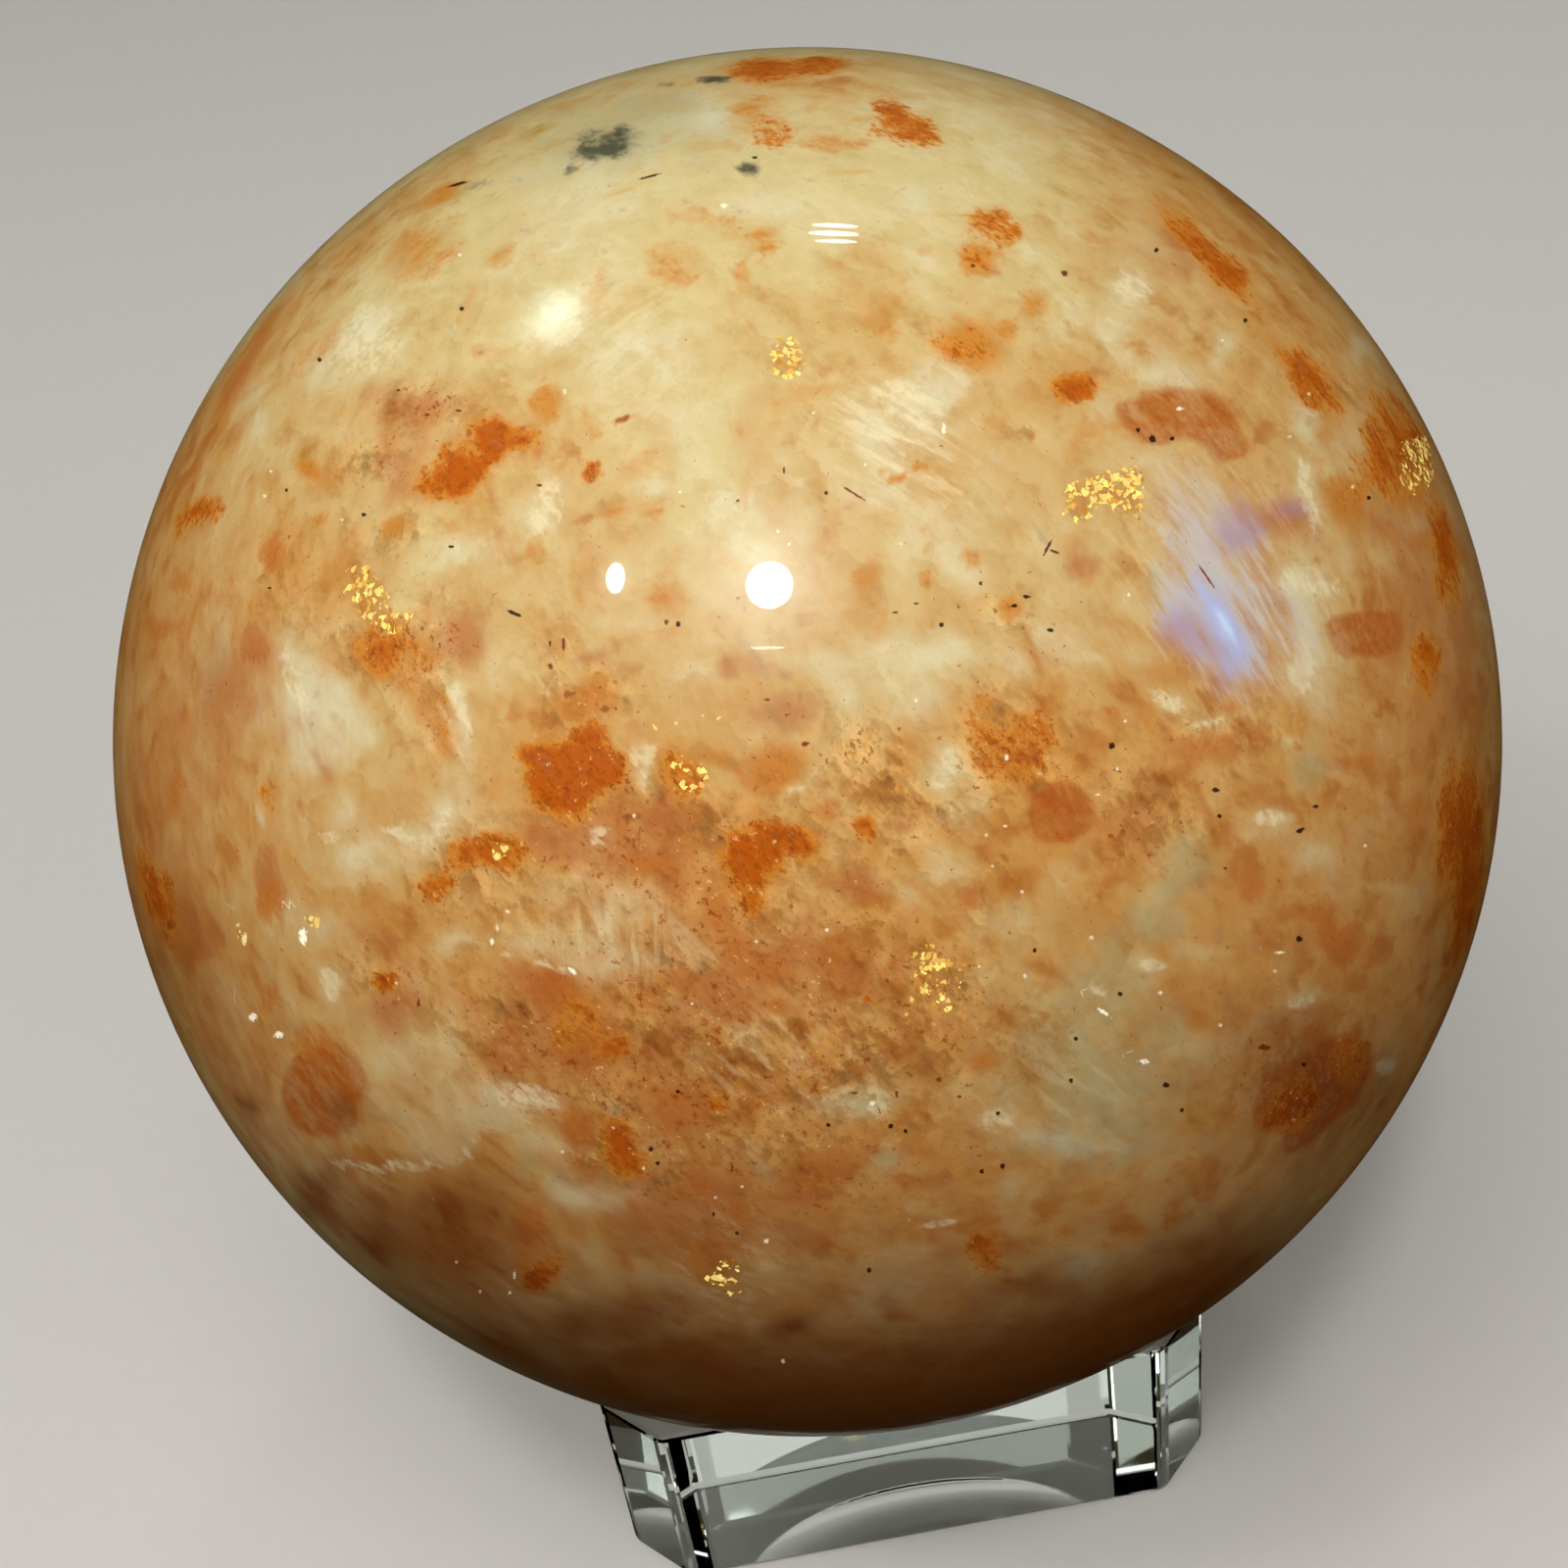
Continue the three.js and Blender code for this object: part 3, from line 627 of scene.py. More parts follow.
class Mark:
    """A patch set on the ball, which tells how far points of the ball are from its middle."""

    def __init__(self, patch, direction, spread):
        self.patch = patch
        self.direction = direction
        self.spread = spread  # pixels across and down for each radian along the two tangents
        side = unit(np.cross(direction, CAMERA.axes[1]))
        self.tangents = np.array([side, np.cross(direction, side)])
        if spread is None:
            self.spread = self.photo_spread()

    def photo_spread(self):
        steps = []
        for tangent in self.tangents:
            ends = np.array([self.direction + tangent * STEP, self.direction - tangent * STEP])
            ends /= np.linalg.norm(ends, axis=1, keepdims=True)
            seen = CAMERA.pixels(ends)
            steps.append((seen[0] - seen[1]) / (2 * STEP))
        return np.array(steps)

    def offsets(self, directions):
        """Each point's offset from the middle, in the photograph's pixels."""
        flat = directions @ self.tangents.T
        sine = np.maximum(np.linalg.norm(flat, axis=1), 1e-9)
        angle = np.arctan2(sine, directions @ self.direction)
        return (flat * (angle / sine)[:, None]) @ self.spread

    def own_offsets(self, directions):
        """The same along and across the patch, as shares of its half sizes."""
        turn = math.radians(self.patch.tilt)
        offsets = self.offsets(directions)
        along = offsets @ np.array([math.cos(turn), math.sin(turn)])
        across = offsets @ np.array([-math.sin(turn), math.cos(turn)])
        return np.stack([along / self.patch.wide, across / self.patch.high], axis=1)

    def reach(self):
        """How far the mark's far end is from its middle, in radians."""
        finest = np.linalg.svd(self.spread, compute_uv=False)[-1]
        return max(self.patch.wide, self.patch.high) / finest

    def fibre_axes(self):
        """Three axes on the ball, the first one along the patch's tilt in the photograph."""
        turn = math.radians(self.patch.tilt)
        flat = np.array([math.cos(turn), math.sin(turn)]) @ np.linalg.inv(self.spread)
        along = unit(flat @ self.tangents)
        return np.array([along, np.cross(self.direction, along), self.direction])


def photo_mark(patch):
    return Mark(patch, CAMERA.direction(patch.x, patch.y), None)


TOWARDS_CAMERA = unit(CAMERA.place)
SEEN_LIMIT = 1 / np.linalg.norm(CAMERA.place)  # the cosine at the outline


def unseen_direction(chance):
    """A random direction on the side of the ball that the photograph doesn't show."""
    while True:
        direction = unit(np.array([chance.gauss(0, 1) for _ in range(3)]))
        if direction @ TOWARDS_CAMERA < SEEN_LIMIT - UNSEEN_MARGIN:
            return direction


def unseen_mark(chance, half_size, stretch, strength):
    """A random mark of about that half size, in millimetres, on the unseen side."""
    wide = half_size * math.sqrt(stretch) * PIXELS_PER_MM
    high = half_size / math.sqrt(stretch) * PIXELS_PER_MM
    patch = Patch(0, 0, wide, high, strength, chance.uniform(-90, 90))
    spread = np.eye(2) * MIDDLE_PIXELS_PER_RADIAN
    return Mark(patch, unseen_direction(chance), spread)


def all_marks(kind, shown, chance):
    """The marks of a kind that the photograph shows, and random ones on the unseen side."""
    marks = [photo_mark(patch) for patch in shown]
    count, smallest, largest, stretch, strength = UNSEEN_MARKS[kind]
    for _ in range(count):
        size = smallest * (largest / smallest) ** (chance.random() ** SMALL_LEANING)
        longer = chance.uniform(1.0, stretch)
        own = strength * chance.uniform(WEAKEST_SHARE, 1.0)
        marks.append(unseen_mark(chance, size, longer, own))
    return marks


def soft_level(marks, directions):
    """How strong a cloudy kind is at each point, from nought to one."""
    clear = np.ones(len(directions))
    for mark in marks:
        offset = mark.own_offsets(directions)
        clear *= 1 - mark.patch.strength * np.exp(-np.sum(offset**2, axis=1))
    return 1 - clear


def crisp_level(marks, directions):
    """One in the middle of the strongest mark, nought at its edge and less outside it."""
    level = np.full(len(directions), LEVEL_FLOOR)
    for mark in marks:
        offset = mark.own_offsets(directions)
        inside = 1 - np.sum(offset**2, axis=1)
        own = np.where(inside > 0, mark.patch.strength * inside, inside)
        level = np.maximum(level, own)
    return level


def segment_offsets(points, start, end):
    """Each point's distance to the right of the way from start to end, and its share of it."""
    way = np.array(end, float) - np.array(start, float)
    length = np.linalg.norm(way)
    off = points - np.array(start, float)
    across = (off[:, 1] * way[0] - off[:, 0] * way[1]) / length
    share = off @ way / length**2
    return across, share


def outline_level(corners, pixels, seen, strength):
    """The level of a crisp mark inside an outline of the photograph."""
    inside = np.zeros(len(pixels), bool)
    nearest = np.full(len(pixels), 1e9)
    x, y = pixels[:, 0], pixels[:, 1]
    for start, end in zip(corners, corners[1:] + corners[:1]):
        across, share = segment_offsets(pixels, start, end)
        beyond = np.clip(share, 0, 1) - share
        length = math.dist(start, end)
        nearest = np.minimum(nearest, np.hypot(across, beyond * length))
        if start[1] != end[1]:
            crossing = start[0] + (y - start[1]) * (end[0] - start[0]) / (end[1] - start[1])
            low, high = sorted((start[1], end[1]))
            inside ^= (y > low) & (y <= high) & (x < crossing)
    signed = np.where(inside, nearest * strength, -nearest) / OUTLINE_DEPTH
    return np.where(seen, np.clip(signed, LEVEL_FLOOR, strength), LEVEL_FLOOR)


def spot_layers(marks, spacing):
    """The spots in layers, so that no two of one layer share the vertices that they need."""
    layers = [[] for _ in range(SPOT_LAYERS)]
    for mark in marks:
        for layer in layers:
            clear = [mark.reach() + other.reach() + 2 * HOLD * spacing for other in layer]
            away = [mark.direction @ other.direction for other in layer]
            if all(cosine < math.cos(angle) for cosine, angle in zip(away, clear)):
                layer.append(mark)
                break
    return layers


def spot_coordinates(marks, directions, spacing):
    """Each point's coordinates in the nearest spot, HELD with the spot's shine, and its tone."""
    kept = np.full((len(directions), 4), FAR_AWAY)
    kept[:, 2:] = 0.0
    for mark in marks:
        near = directions @ mark.direction > math.cos(mark.reach() + HOLD * spacing)
        kept[near, :2] = mark.own_offsets(directions[near])
        shine = mark.patch.wide * mark.patch.high / SHINING_AREA
        kept[near, 2] = HELD + min(SHINE_LIMIT, shine)
        kept[near, 3] = mark.patch.strength
    return kept


def fibre_coordinates(directions):
    """The points of the ball in millimetres, turned and shortened along the stone's fibres."""
    points = directions * (BALL_RADIUS / MM)
    squash = np.array([1 / FIBRE_LENGTH, 1.0, 1.0])
    middle = Patch(*OUTLINE_CENTRE, 1, 1, tilt=FIBRE_TILT)
    along = points @ photo_mark(middle).fibre_axes().T * squash
    for zone in FIBRE_ZONES:
        mark = photo_mark(zone)
        held = np.sum(mark.own_offsets(directions) ** 2, axis=1) < 1
        along[held] = points[held] @ mark.fibre_axes().T * squash
    return along


def wandering(directions, size, amount, seed):
    """The directions shifted a little by noise, so that no mark has an even edge."""
    shift = Vector((seed, 2 * seed, 3 * seed))
    moved = [noise.noise_vector(Vector(d) / size + shift) for d in directions]
    out = directions + np.array(moved) * amount
    return out / np.linalg.norm(out, axis=1, keepdims=True)


def clouds(directions, size, octaves, seed):
    """Fractal noise at each point, folded over itself a little, about nought."""
    shift = Vector((seed, seed / 2, -seed))
    frequency, depth = CLOUD_FOLD
    found = []
    for direction in directions:
        place = Vector(direction) / size + shift
        place += noise.noise_vector(place * frequency) * depth
        found.append(noise.fractal(place, *CLOUD_ROUGHNESS, octaves))
    return np.array(found)


def store(mesh, name, kind, rows):
    """Keeps one value for each vertex in the mesh under that name."""
    width = {"FLOAT_COLOR": 4, "FLOAT_VECTOR": 3}[kind]
    attribute = mesh.attributes.new(name, kind, "POINT")
    field = "color" if kind == "FLOAT_COLOR" else "vector"
    attribute.data.foreach_set(field, np.ascontiguousarray(rows[:, :width], np.float32).ravel())


def srgb(red, green, blue):
    """A colour given in the 0 to 255 steps of a colour picker, as linear light."""
    shares = [v / 255 for v in (red, green, blue)]
    linear = [v / 12.92 if v <= 0.04045 else ((v + 0.055) / 1.055) ** 2.4 for v in shares]
    return (*linear, 1.0)


# The way that the stone's cloudy fabric runs on its seen side: down to the right in the photograph
FABRIC = tuple(unit(CAMERA.axes[0] + CAMERA.axes[1]))

# Colours of the stone
TAN = srgb(195, 158, 79)
CREAM = srgb(213, 193, 134)
MILK = srgb(221, 210, 168)
BLUSH = srgb(184, 110, 58)
AMBER = srgb(206, 131, 34)
AMBER_WARM = srgb(196, 114, 48)
AMBER_DEEP = srgb(172, 92, 30)
RUST_LIGHT = srgb(212, 136, 44)
RUST_DEEP = srgb(187, 87, 5)
RUST_DARK = srgb(152, 62, 2)
DARK_RED = srgb(140, 60, 14)
LOBE = srgb(178, 90, 26)
INK = srgb(60, 64, 48)
INK_PALE = srgb(140, 138, 106)
DASH = srgb(178, 98, 34)
SOOT = srgb(40, 20, 4)
FEATHER = srgb(240, 224, 178)
BLUE_SHEEN = srgb(176, 188, 236)
BLUE_SHEEN_CORE = srgb(198, 222, 250)
VIOLET_SHEEN = srgb(166, 130, 166)
VEIL_SHEEN = srgb(204, 193, 186)
GOLD_PALE = srgb(255, 224, 106)
SPARK = srgb(250, 212, 130)
GOLD_WHITE = srgb(252, 240, 150)
GOLD_DEEP = srgb(206, 124, 22)
GOLD_GROUND = srgb(194, 130, 46)
GLINT_WHITE = srgb(250, 240, 210)
WHITE = (1.0, 1.0, 1.0, 1.0)
BLACK = (0.0, 0.0, 0.0, 1.0)

# What parts of the stone multiply its body colour by
PEACH_AND_SHADE_TINT = (0.9, 0.555, 0.3, 1.0)  # the warm parts, also painted shade over the lower half and the right side
RUDDY_TINT = (1.0, 0.84, 0.74, 1.0)  # their shadows
BLOT_TINT = (0.8, 0.55, 0.34, 1.0)  # their reddish blots
GREY_TINT = (0.76, 0.83, 0.9, 1.0)  # the glassy parts
BROWN_AND_SHADE_TINT = (0.26, 0.1, 0.03, 1.0)  # the deep brown parts, and the painted shade along the bottom


class Wiring:
    """Adds nodes to one node tree and wires them. What it returns is a socket to read."""

    COLUMN = 6

    def __init__(self, tree):
        self.tree = tree
        self.count = 0

    def node(self, kind, inputs=None, **settings):
        made = self.tree.nodes.new(kind)
        made.location = (210 * (self.count // self.COLUMN), -240 * (self.count % self.COLUMN))
        self.count += 1
        for name, value in settings.items():
            setattr(made, name, value)
        for key, value in (inputs or {}).items():
            self.feed(made.inputs[key], value)
        return made

    def feed(self, socket, value):
        if isinstance(value, bpy.types.NodeSocket):
            self.tree.links.new(value, socket)
        else:
            socket.default_value = value

    def math(self, operation, first, second=0.0, third=0.0, clamp=False):
        inputs = {0: first, 1: second, 2: third}
        made = self.node("ShaderNodeMath", inputs, operation=operation, use_clamp=clamp)
        return made.outputs[0]

    def less(self, first, second):
        return self.math("SUBTRACT", first, second)

    def highest(self, first, second):
        return self.math("MAXIMUM", first, second)

    def chain(self, operation, values):
        total = values[0]
        for value in values[1:]:
            total = self.math(operation, total, value)
        return total

    def add(self, *values):
        return self.chain("ADD", values)

    def times(self, *values):
        return self.chain("MULTIPLY", values)

    def mixed(self, first, *others):
        """The first value and each of the others by its own weight, added up."""
        return self.add(first, *[self.times(value, weight) for value, weight in others])

    def rise(self, value, low, high):
        """Nought below low and one above high, with a smooth step between them."""
        inputs = {"Value": value, "From Min": low, "From Max": high}
        made = self.node("ShaderNodeMapRange", inputs, interpolation_type="SMOOTHSTEP")
        return made.outputs["Result"]

    def stretch(self, value, low, high, to_low, to_high):
        inputs = {"Value": value, "From Min": low, "From Max": high}
        inputs.update({"To Min": to_low, "To Max": to_high})
        return self.node("ShaderNodeMapRange", inputs).outputs["Result"]

    def scaled(self, vector, amount):
        made = self.node("ShaderNodeVectorMath", {0: vector}, operation="SCALE")
        self.feed(made.inputs["Scale"], amount)
        return made.outputs[0]

    def shifted(self, vector, other):
        made = self.node("ShaderNodeVectorMath", {0: vector, 1: other}, operation="ADD")
        return made.outputs[0]

    def squeezed(self, vector, direction, share):
        """The vector shortened along a direction, so that what it drives grows long that way."""
        inputs = {0: vector, 1: direction}
        made = self.node("ShaderNodeVectorMath", inputs, operation="DOT_PRODUCT")
        cut = self.scaled(direction, self.times(made.outputs["Value"], -share))
        return self.shifted(vector, cut)

    def noise(self, vector, scale, detail=3.0, roughness=0.55, output="Fac"):
        inputs = {"Vector": vector, "Scale": scale, "Detail": detail, "Roughness": roughness}
        return self.node("ShaderNodeTexNoise", inputs).outputs[output]

    def cells(self, vector, scale, distance="EUCLIDEAN"):
        inputs = {"Vector": vector, "Scale": scale}
        return self.node("ShaderNodeTexVoronoi", inputs, distance=distance)

    def split(self, colour):
        return self.node("ShaderNodeSeparateColor", {0: colour}).outputs

    def parts(self, vector):
        return self.node("ShaderNodeSeparateXYZ", {0: vector}).outputs

    def paint(self, share, under, over, blend="MIX"):
        inputs = {"Factor": share, 6: under, 7: over}
        made = self.node("ShaderNodeMix", inputs, data_type="RGBA", blend_type=blend)
        return made.outputs[2]

    def attribute(self, name):
        return self.node("ShaderNodeAttribute", attribute_name=name)

    def levels(self, name):
        """The four levels that one colour attribute holds, by kind."""
        made = self.attribute(name)
        red, green, blue = self.split(made.outputs["Color"])[:3]
        return dict(zip(LEVEL_SETS[name], (red, green, blue, made.outputs["Alpha"])))

    def group(self, tree, **inputs):
        made = self.node("ShaderNodeGroup", node_tree=tree)
        for name, value in inputs.items():
            self.feed(made.inputs[name.replace("_", " ").capitalize()], value)
        return made.outputs


def new_group(name, inputs, outputs):
    """An empty node group with named inputs and outputs, and the wiring to fill it."""
    tree = bpy.data.node_groups.new(name, "ShaderNodeTree")
    for label, kind, default in inputs:
        socket = tree.interface.new_socket(label, in_out="INPUT", socket_type=kind)
        if default is not None:
            socket.default_value = default
    for label, kind in outputs:
        tree.interface.new_socket(label, in_out="OUTPUT", socket_type=kind)
    wires = Wiring(tree)
    entry = wires.node("NodeGroupInput").outputs
    leave = wires.node("NodeGroupOutput").inputs
    return tree, wires, entry, leave


GRIT_SHIFT = (7.0, 3.0, 5.0)  # keeps the grit from following the clouds
ACRYLIC_IOR = 1.49
FLOAT, VECTOR, COLOUR = "NodeSocketFloat", "NodeSocketVector", "NodeSocketColor"


def haze_group():
    """The faint haze of handling, as a change of roughness. Both materials share it."""
    name = "handling haze"
    if name in bpy.data.node_groups:
        return bpy.data.node_groups[name]
    inputs = [("Vector", VECTOR, None), ("Amount", FLOAT, 1.0), ("Roughness", FLOAT, 0.02)]
    tree, w, entry, leave = new_group(name, inputs, [("Roughness", FLOAT)])
    haze = w.rise(w.noise(entry["Vector"], 0.35, 3, 0.6), 0.48, 0.75)
    w.feed(leave["Roughness"], w.add(entry["Roughness"], w.times(haze, entry["Amount"])))
    return tree


def flakes_group():
    """Crowded mirror flakes in a cluster: where they are, their tone and their painted glint."""
    inputs = [("Vector", VECTOR, None), ("Level", FLOAT, 0.0)]
    outputs = [("Flake", FLOAT), ("Tone", FLOAT), ("Shine", FLOAT)]
    tree, w, entry, leave = new_group("gold flakes", inputs, outputs)
    pushed = w.scaled(w.noise(entry["Vector"], 3.0, 1, output="Color"), 0.35)
    cells = w.cells(w.shifted(entry["Vector"], pushed), 4.6, distance="MANHATTAN")
    drawn = w.split(cells.outputs["Color"])
    inside = w.math("LESS_THAN", drawn[2], w.stretch(entry["Level"], -0.3, 0.35, 0.0, 1.0))
    size = w.stretch(drawn[0], 0.0, 1.0, 0.4, 1.0)
    body = w.math("LESS_THAN", cells.outputs["Distance"], size)
    w.feed(leave["Flake"], w.times(body, inside))
    w.feed(leave["Tone"], drawn[1])
    w.feed(leave["Shine"], w.times(drawn[0], drawn[0]))
    return tree


def feldspar_group():
    """The stone's cloudy body colour: milky clouds, clearer tan ground and glassy grey windows."""
    inputs = [("Vector", VECTOR, None), ("Fibre", VECTOR, None)]
    names = ("Milk", "Warm", "Busy", "Shade", "Blots", "Blush", "Grey", "Feather")
    inputs += [(name, FLOAT, 0.0) for name in names]
    outputs = [("Color", COLOUR), ("Mottle", FLOAT), ("Crumbs", FLOAT), ("Threads", FLOAT)]
    tree, w, entry, leave = new_group("cloudy feldspar", inputs, outputs)
    long = w.squeezed(entry["Vector"], FABRIC, 0.35)
    # Clouds, crumbs and threads, each about nought, and the flat tones of broken crystals
    mottle = w.less(w.noise(long, 0.85, 4, 0.58), 0.5)
    crumbs = w.less(w.noise(long, 3.6, 3, 0.6), 0.5)
    threads = w.less(w.noise(entry["Fibre"], 2.6, 3, 0.6), 0.5)
    bent = w.shifted(long, w.mixed(w.times(mottle, 1.5), (crumbs, 0.5)))
    facet = w.less(w.split(w.cells(bent, 0.8).outputs["Color"])[0], 0.5)
    chip = w.less(w.split(w.cells(bent, 2.1).outputs["Color"])[1], 0.5)
    along = w.times(threads, w.add(w.times(entry["Feather"], 0.6), 0.07))
    ground = w.add(w.times(mottle, 1.15), along, w.times(facet, 0.16), w.times(chip, 0.08))

    # From tan through cream to milk, and peach where it is warm, which is partly painted shade
    share = w.stretch(entry["Warm"], 0.3, 1.0, 0.8, 0.3)
    milk = w.add(entry["Milk"], w.times(ground, share), w.times(entry["Shade"], 0.08))
    colour = w.paint(w.rise(milk, -0.15, 0.55), TAN, CREAM)
    colour = w.paint(w.rise(milk, 0.5, 1.2), colour, MILK)
    warm = w.mixed(entry["Warm"], (ground, -0.4), (entry["Shade"], -0.15))
    colour = w.paint(w.rise(warm, 0.12, 1.0), colour, PEACH_AND_SHADE_TINT, blend="MULTIPLY")

    # Fine light and dark, strongest where it is busy, with ruddy shadows and blots
    fine = w.add(
        w.times(mottle, 0.6), w.times(crumbs, 0.4), along, w.times(facet, 0.1), w.times(chip, 0.1)
    )
    fine = w.times(fine, w.stretch(entry["Busy"], 0.3, 0.85, 0.35, 2.7))
    colour = w.paint(1.0, colour, w.add(fine, 1.0), blend="MULTIPLY")
    ruddy = w.times(w.rise(fine, 0.05, -0.2), entry["Warm"])
    colour = w.paint(ruddy, colour, RUDDY_TINT, blend="MULTIPLY")
    ragged = w.times(crumbs, w.stretch(entry["Busy"], 0.2, 0.7, 0.3, 1.0))
    blots = w.add(entry["Blots"], w.times(ground, -0.8), ragged)
    blotted = w.times(w.rise(blots, 0.55, 1.35), 0.75)
    colour = w.paint(blotted, colour, BLOT_TINT, blend="MULTIPLY")

    # Glassy windows, salmon patches and feathers
    grey = w.rise(w.mixed(entry["Grey"], (mottle, 1.2)), 0.15, 0.9)
    colour = w.paint(w.times(grey, 0.9), colour, GREY_TINT, blend="MULTIPLY")
    blush = w.mixed(entry["Blush"], (ground, 0.9), (entry["Shade"], -0.2))
    colour = w.paint(w.times(w.rise(blush, 0.1, 0.9), 0.75), colour, BLUSH)
    lines = w.rise(threads, 0.0, 0.14)
    colour = w.paint(w.times(lines, entry["Feather"], 0.65), colour, FEATHER)
    results = {"Color": colour, "Mottle": mottle, "Crumbs": crumbs, "Threads": threads}
    for name, value in results.items():
        w.feed(leave[name], value)
    return tree


def drawn_spots(w, family, ragged, core):
    """The mask, tone and shine of every dot that the ball's own spot coordinates give."""
    mask, tone, shine = 0.0, 0.0, 0.0
    for layer in range(SPOT_LAYERS):
        made = w.attribute(f"{family}_{layer}")
        own = w.split(made.outputs["Color"])
        distance = w.add(w.times(own[0], own[0]), w.times(own[1], own[1]))
        distance = w.add(distance, w.stretch(ragged, 0.3, 0.7, -0.6, 0.6))
        inside = w.less(1.0, w.rise(distance, core, 1.2))
        held = w.math("GREATER_THAN", own[2], HELD_LIMIT)
        shown = w.times(inside, held)
        mask = w.highest(mask, shown)
        tone = w.highest(tone, w.times(shown, made.outputs["Alpha"]))
        shine = w.highest(shine, w.times(shown, w.less(own[2], 1.0)))
    return mask, tone, shine


def new_material(name):
    material = bpy.data.materials.new(name)
    material.use_nodes = True
    tree = material.node_tree
    shader = tree.nodes["Principled BSDF"]
    return material, Wiring(tree), shader


def stone_material(settings):
    """Polished sunstone: cloudy feldspar with stains, flakes, specks and a blue flash."""
    material, w, shader = new_material("polished sunstone")
    vector = w.scaled(w.node("ShaderNodeTexCoord").outputs["Object"], 1 / MM)
    fibre = w.attribute("fibre_place").outputs["Vector"]
    tint, stain, mark, flash, ground = [w.levels(name) for name in LEVEL_SETS]
    body = w.group(
        feldspar_group(), vector=vector, fibre=fibre, milk=tint["milk"], warm=ground["warm"],
        shade=ground["shade"], busy=ground["crowd"], blots=flash["blots"], blush=tint["blush"],
        grey=tint["grey"], feather=mark["fibre"],
    )
    colour, mottle = body["Color"], body["Mottle"]
    crumbs, threads = body["Crumbs"], body["Threads"]
    long = w.squeezed(w.shifted(vector, GRIT_SHIFT), FABRIC, 0.4)
    grit = w.less(w.noise(long, 4.8, 2, 0.65), 0.5)
    fringe = w.mixed(w.times(mottle, 1.7), (crumbs, 1.5), (threads, 0.3), (grit, 0.7))
    dark_grit = w.rise(grit, 0.0, 0.1)

    # Stray stains, shards, one of them partly a painted highlight, and smooth lobes
    stray = w.rise(w.mixed(ground["strays"], (fringe, 0.35)), 0.35, 0.85)
    colour = w.paint(w.times(stray, 0.35), colour, AMBER)
    shard_and_highlight = w.rise(w.mixed(flash["shard_and_highlight"], (fringe, 0.8)), -0.3, 0.5)
    broken = w.stretch(w.add(threads, crumbs), -0.15, 0.15, 0.2, 0.7)
    colour = w.paint(w.times(shard_and_highlight, broken), colour, FEATHER)
    lobe = w.rise(w.mixed(stain["lobe"], (fringe, 0.5)), -0.3, 0.35)
    uneven = w.stretch(fringe, -0.4, 0.4, 0.95, 0.45)
    colour = w.paint(w.times(lobe, uneven), colour, LOBE)

    # Cloudy amber, ragged rust, dark red crumbs, and brown depths with painted shade along the
    # bottom
    cloudy = w.mixed(w.times(mottle, 2.2), (crumbs, 1.2), (threads, 0.6))
    amber = w.rise(w.add(stain["amber"], cloudy), -0.4, 1.0)
    amber_tone = w.paint(w.rise(ground["warm"], 0.45, 0.95), AMBER, AMBER_WARM)
    amber_tone = w.paint(w.times(dark_grit, amber, 0.5), amber_tone, AMBER_DEEP)
    colour = w.paint(w.times(amber, 0.85), colour, amber_tone)
    rusty_haze = w.rise(w.mixed(stain["rust"], (fringe, 1.3)), -1.0, 0.5)
    colour = w.paint(w.times(rusty_haze, 0.4), colour, RUST_LIGHT)
    rust = w.rise(w.mixed(stain["rust"], (fringe, 1.1)), -0.35, 0.35)
    depth = w.rise(w.mixed(stain["rust"], (mottle, 2.4), (crumbs, 1.2)), -0.1, 0.9)
    dark_rust = w.times(w.rise(w.mixed(grit, (threads, 0.4)), 0.0, 0.14), 0.6)
    rust_tone = w.paint(dark_rust, w.paint(depth, RUST_LIGHT, RUST_DEEP), RUST_DARK)
    colour = w.paint(w.times(rust, 0.94), colour, rust_tone)
    red = w.rise(w.mixed(stain["red"], (fringe, 0.6)), 0.0, 0.6)
    colour = w.paint(w.times(red, 0.7), colour, DARK_RED)
    # Brown spots, and painted shade along the bottom, multiply the colour down
    brown_and_shade = w.rise(w.mixed(tint["brown_and_shade"], (mottle, 0.4)), 0.05, 1.0)
    colour = w.paint(brown_and_shade, colour, BROWN_AND_SHADE_TINT, blend="MULTIPLY")

    # The flash, painted as a sheen: a pale veil, violet patches and the blue streak
    veil_sheen = w.rise(w.add(flash["veil_sheen"], w.times(threads, flash["veil_sheen"], 2.6)), 0.05, 0.9)
    colour = w.paint(w.times(veil_sheen, 0.85), colour, VEIL_SHEEN)
    wild = w.times(w.add(threads, mottle), flash["violet_sheen"], 1.2)
    violet_sheen = w.rise(w.add(flash["violet_sheen"], wild), 0.1, 0.9)
    colour = w.paint(w.times(violet_sheen, 0.6), colour, VIOLET_SHEEN)
    blue = w.rise(w.add(mark["blue"], w.times(threads, mark["blue"], 1.5)), 0.05, 0.8)
    core = w.rise(w.add(mark["blue"], w.times(threads, mark["blue"], 0.6)), 0.55, 1.0)
    colour = w.paint(w.times(blue, 0.8), colour, w.paint(core, BLUE_SHEEN, BLUE_SHEEN_CORE))

